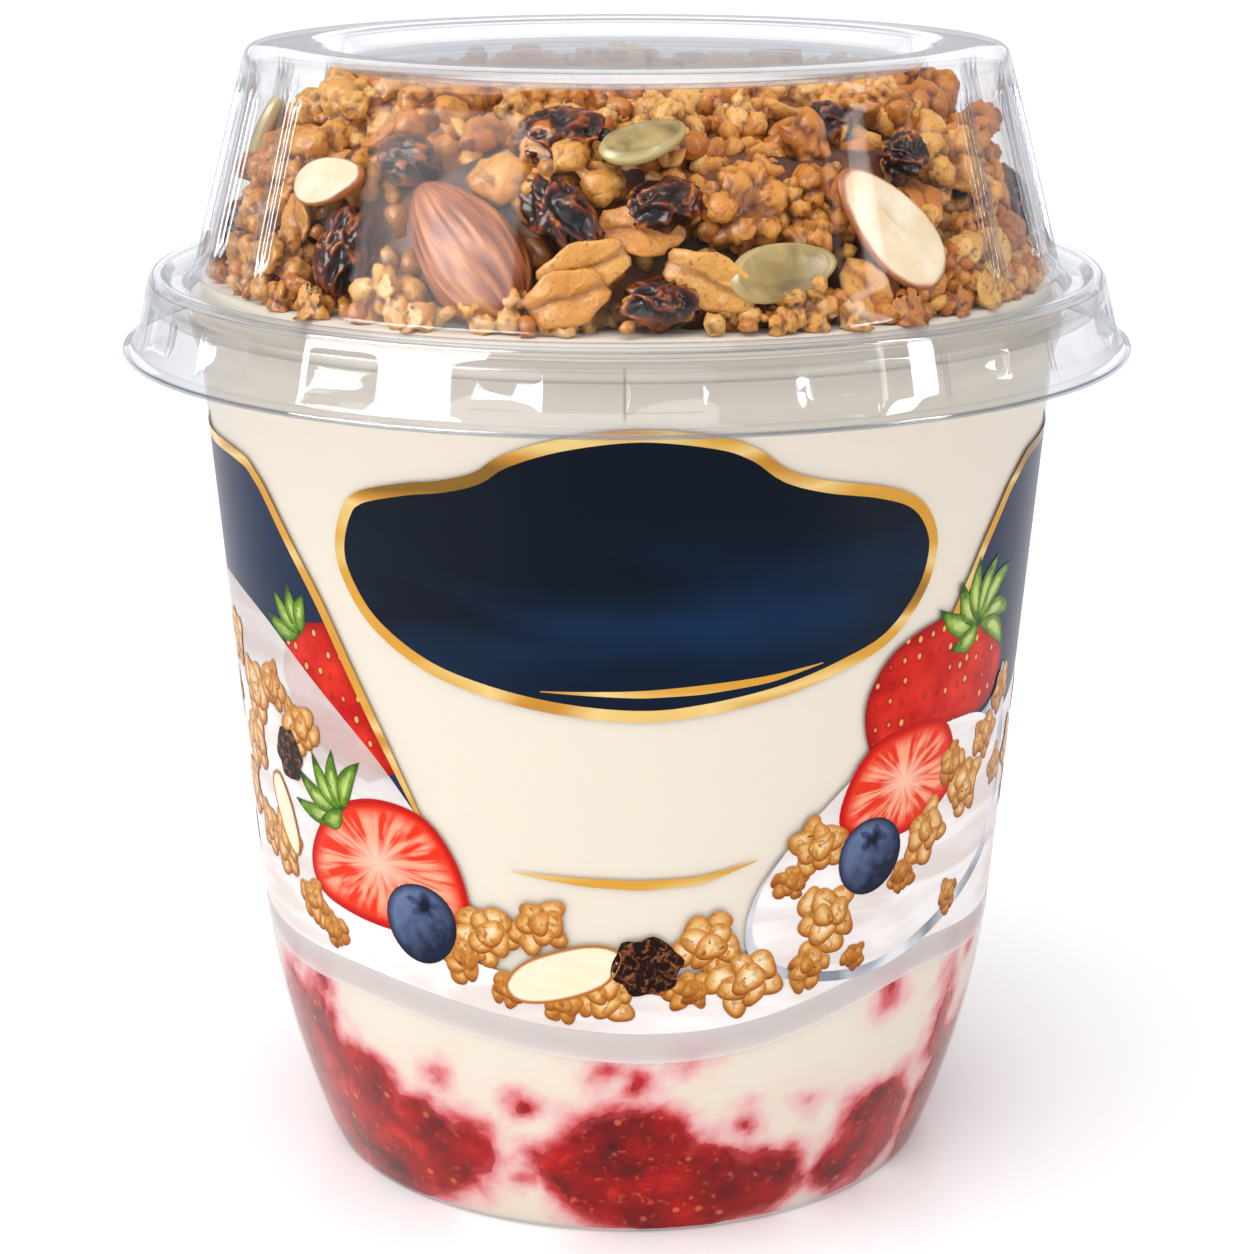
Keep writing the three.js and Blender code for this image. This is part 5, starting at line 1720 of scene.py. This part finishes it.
# %% [markdown]
# A dried raisin is soft and glossy, almost black, with amber where light passes a thin fold. Its skin
# folds into sharp ridges over rounded valleys, which is one minus the absolute value of a noise.

# %% Raisins
raisin_finish, tree, shader = new_material("dried grape skin")
place = add(tree, "TexCoord").outputs["Object"]
folds = add(tree, "TexNoise", {"Vector": place, "Scale": 700, "Detail": 3, "Distortion": 0.8})
mark = add(tree, "Attribute", attribute_name="mark")
ridge_part = add(tree, "Math", {0: mark, 1: 0.7}, operation="MULTIPLY")
fold_part = add(tree, "Math", {0: folds, 1: 0.3}, operation="MULTIPLY")
fold = add(tree, "Math", {0: ridge_part, 1: fold_part}, operation="ADD")
skin_colour = add(tree, "ValToRGB", {0: fold}, stops=[
    (0.3, "#150502"), (0.84, "#b86420"), (0.54, "#32100a"), (0.68, "#6b2a0c")])
glints = add(tree, "TexNoise", {"Vector": place, "Scale": 520, "Detail": 2, "Distortion": 1.5})
glint = add(tree, "MapRange", {"Value": glints, "From Min": 0.6, "From Max": 0.68})
on_ridge = add(tree, "MapRange", {"Value": mark, "From Min": 0.3, "From Max": 0.7})
amber = add(tree, "Math", {0: glint, 1: on_ridge}, operation="MULTIPLY")
skin = add(tree, "Mix", {0: amber, 6: skin_colour, 7: "#c8711c"}, data_type="RGBA")
tree.links.new(skin.outputs[2], shader.inputs["Base Color"])
shader.inputs["Roughness"].default_value = 0.3
shader.inputs["Specular IOR Level"].default_value = 0.22
shader.inputs["Coat Weight"].default_value = 0.2
shader.inputs["Coat Roughness"].default_value = 0.08


# noise_vector is shifted by offsets that come from the clock until a seed is set.
RAISIN_SEED = 4


def raisin(number):
    points, faces = unit_ball(5)
    shift = Vector((number * 4.3, number * 1.7, 0))
    warp = [Vector(p) * 1.5 + shift + 0.5 * noise.noise_vector(Vector(p) * 1.2 + shift) for p in points]
    ridge = np.array([1 - abs(noise.noise(q)) * 2.4 for q in warp])
    fine = np.array([1 - abs(noise.noise(q * 2.6)) * 2.2 for q in warp])
    fold = np.clip(0.68 * ridge + 0.32 * fine, 0, 1)
    shape = 0.72 + 0.30 * fold
    return points * np.clip(shape, 0, 1)[:, None], faces, fold


raisins = [name for name in toppings if name.startswith("raisin_")]
noise.seed_set(RAISIN_SEED)
lay("raisins", raisin, raisins, "raisin", raisin_finish)
print(len(raisins), "raisins")

# %% [markdown]
# A whole almond keeps its brown skin, dry and finely wrinkled along its length. It is broad at one
# end and comes to a point at the other. The wrinkles are a noise stretched along the nut.

# %% Almonds
almond_finish, tree, shader = new_material("almond skin")
place = add(tree, "TexCoord").outputs["Object"]
dust = add(tree, "TexNoise", {"Vector": place, "Scale": 900, "Detail": 4})
mark = add(tree, "Attribute", attribute_name="mark")
wrinkle_part = add(tree, "Math", {0: mark, 1: 0.75}, operation="MULTIPLY")
dust_part = add(tree, "Math", {0: dust, 1: 0.3}, operation="MULTIPLY")
streak = add(tree, "Math", {0: wrinkle_part, 1: dust_part}, operation="ADD")
nut_colour = add(tree, "ValToRGB", {0: streak}, stops=[
    (0.15, "#6a2a0e"), (0.95, "#d68c56"), (0.4, "#9a4c20"), (0.62, "#b96a34")])
tree.links.new(nut_colour.outputs[0], shader.inputs["Base Color"])
bump = add(tree, "Bump", {"Strength": 0.5, "Distance": 0.0005, "Height": streak})
tree.links.new(bump.outputs[0], shader.inputs["Normal"])
shader.inputs["Roughness"].default_value = 0.5
shader.inputs["Coat Weight"].default_value = 0.15
shader.inputs["Coat Roughness"].default_value = 0.3


def almond(number):
    places = -np.cos(np.linspace(0, math.pi, 48))
    girth = np.sqrt(1 - places ** 2) * (1 - 0.17 * places) * (1 - 0.2 * np.maximum(0, places) ** 2)
    girth[[0, -1]] = 0
    points, faces = lathe(list(zip(girth, places)), np.linspace(0, 360, 72, endpoint=False))
    unit = np.array(points)[:, [2, 0, 1]]
    groove, fine = [], []
    for x, y, z in unit:
        side = math.hypot(y, z) + 1e-6
        groove.append(noise.noise(Vector((x * 1.5 + number * 7, 5 * y / side, 5 * z / side))))
        fine.append(noise.noise(Vector((x * 2.2, 9 * y / side, 9 * z / side + number))))
    groove, fine = np.array(groove), np.array(fine)
    unit = unit * np.stack([np.ones_like(fine)] + [1 + 0.035 * groove + 0.018 * fine] * 2, 1)
    return unit, faces, np.clip(0.5 + 0.55 * groove + 0.75 * fine, 0, 1)


almonds = [name for name in toppings if name.startswith("almond_") and "slice" not in name]
lay("almonds", almond, almonds, "almond", almond_finish)
print(len(almonds), "almonds")

# %% [markdown]
# A sliced almond is a flat cream wafer with its brown skin left round the rim. A pumpkin seed is an
# olive-tan lens with a thin raised rim and a satin shine. Both are closed discs, drawn by a rule for
# the outline and one for the thickness.

# %% Almond slices and pumpkin seeds
slice_finish, tree, shader = new_material("cut almond")
place = add(tree, "TexCoord").outputs["Object"]
grain = add(tree, "TexNoise", {"Vector": place, "Scale": 260, "Detail": 4})
pale = add(tree, "MapRange", {"Value": grain, "From Min": 0.35, "From Max": 0.7})
flesh = add(tree, "Mix", {0: pale, 6: "#efd2a4", 7: "#fbecd0"}, data_type="RGBA")
uneven = add(tree, "TexNoise", {"Vector": place, "Scale": 700, "Detail": 3})
mark = add(tree, "Attribute", attribute_name="mark")
wander = add(tree, "Math", {0: uneven, 1: 0.1, 2: -0.05}, operation="MULTIPLY_ADD")
rim = add(tree, "Math", {0: mark, 1: wander}, operation="ADD")
skin = add(tree, "MapRange", {"Value": rim, "From Min": 0.9, "From Max": 0.965})
rimmed = add(tree, "Mix", {0: skin, 6: flesh, 7: "#b5662a"}, data_type="RGBA")
tree.links.new(rimmed.outputs[2], shader.inputs["Base Color"])
shader.inputs["Roughness"].default_value = 0.42
shader.inputs["Subsurface Weight"].default_value = 0.15
shader.inputs["Subsurface Radius"].default_value = (1.0, 0.7, 0.4)
shader.inputs["Subsurface Scale"].default_value = 0.001

seed_finish, tree, shader = new_material("roasted pumpkin seed")
place = add(tree, "TexCoord").outputs["Object"]
skin_noise = add(tree, "TexNoise", {"Vector": place, "Scale": 330, "Detail": 4, "Distortion": 0.6})
lit = add(tree, "MapRange", {"Value": skin_noise, "From Min": 0.35, "From Max": 0.68})
seed_skin = add(tree, "Mix", {0: lit, 6: "#7d652c", 7: "#bfa566"}, data_type="RGBA")
mark = add(tree, "Attribute", attribute_name="mark")
rim = add(tree, "MapRange", {"Value": mark, "From Min": 0.86, "From Max": 0.98})
rimmed = add(tree, "Mix", {0: rim, 6: seed_skin, 7: "#d2bf82"}, data_type="RGBA")
tree.links.new(rimmed.outputs[2], shader.inputs["Base Color"])
shader.inputs["Roughness"].default_value = 0.36
shader.inputs["Coat Weight"].default_value = 0.15
shader.inputs["Coat Roughness"].default_value = 0.2


def teardrop(a):
    """An outline in the unit square, rounded at one end and pointed at the other."""
    x = np.cos(a)
    return x, np.sin(a) * (1 - 0.22 * x) / 1.04


def flat_shape(upper, lower):
    mesh = disc("unit", 44, 12, teardrop, upper, lower)
    points, _, faces = mesh_arrays(mesh)
    rho = np.empty(len(points), np.float32)
    mesh.attributes["rho"].data.foreach_get("value", rho)
    return points, faces, rho


def wafer(number):
    side = lambda r, a: (1 - max(0.0, (r - 0.9) / 0.1) ** 2 * 0.85) * (0.8 + 0.2 * math.cos(2 * a + number))
    return flat_shape(side, lambda r, a: -side(r, a) * (r < 1) + 0.1 * (r >= 1))


def pumpkin_seed(number):
    def side(r, a):
        dome = 1 - 0.55 * r * r
        rim = 0.28 * math.exp(-((r - 0.9) / 0.06) ** 2)
        return (dome + rim) * math.sqrt(max(0.0, 1 - r ** 8))
    return flat_shape(side, lambda r, a: -side(r, a))


slice_names = [name for name in toppings if name.startswith("almond_slice_")]
seed_names = [name for name in toppings if name.startswith("pumpkin_seed_")]
lay("almond_slices", wafer, slice_names, "almond_slice", slice_finish)
lay("pumpkin_seeds", pumpkin_seed, seed_names, "pumpkin_seed", seed_finish)
bpy.data.objects.remove(keep_off)
print(len(slice_names), "slices and", len(seed_names), "seeds")

# %% Finish
size = {"cad": cad_bounds, "visual": [list(corner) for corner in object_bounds()]}
print(size)
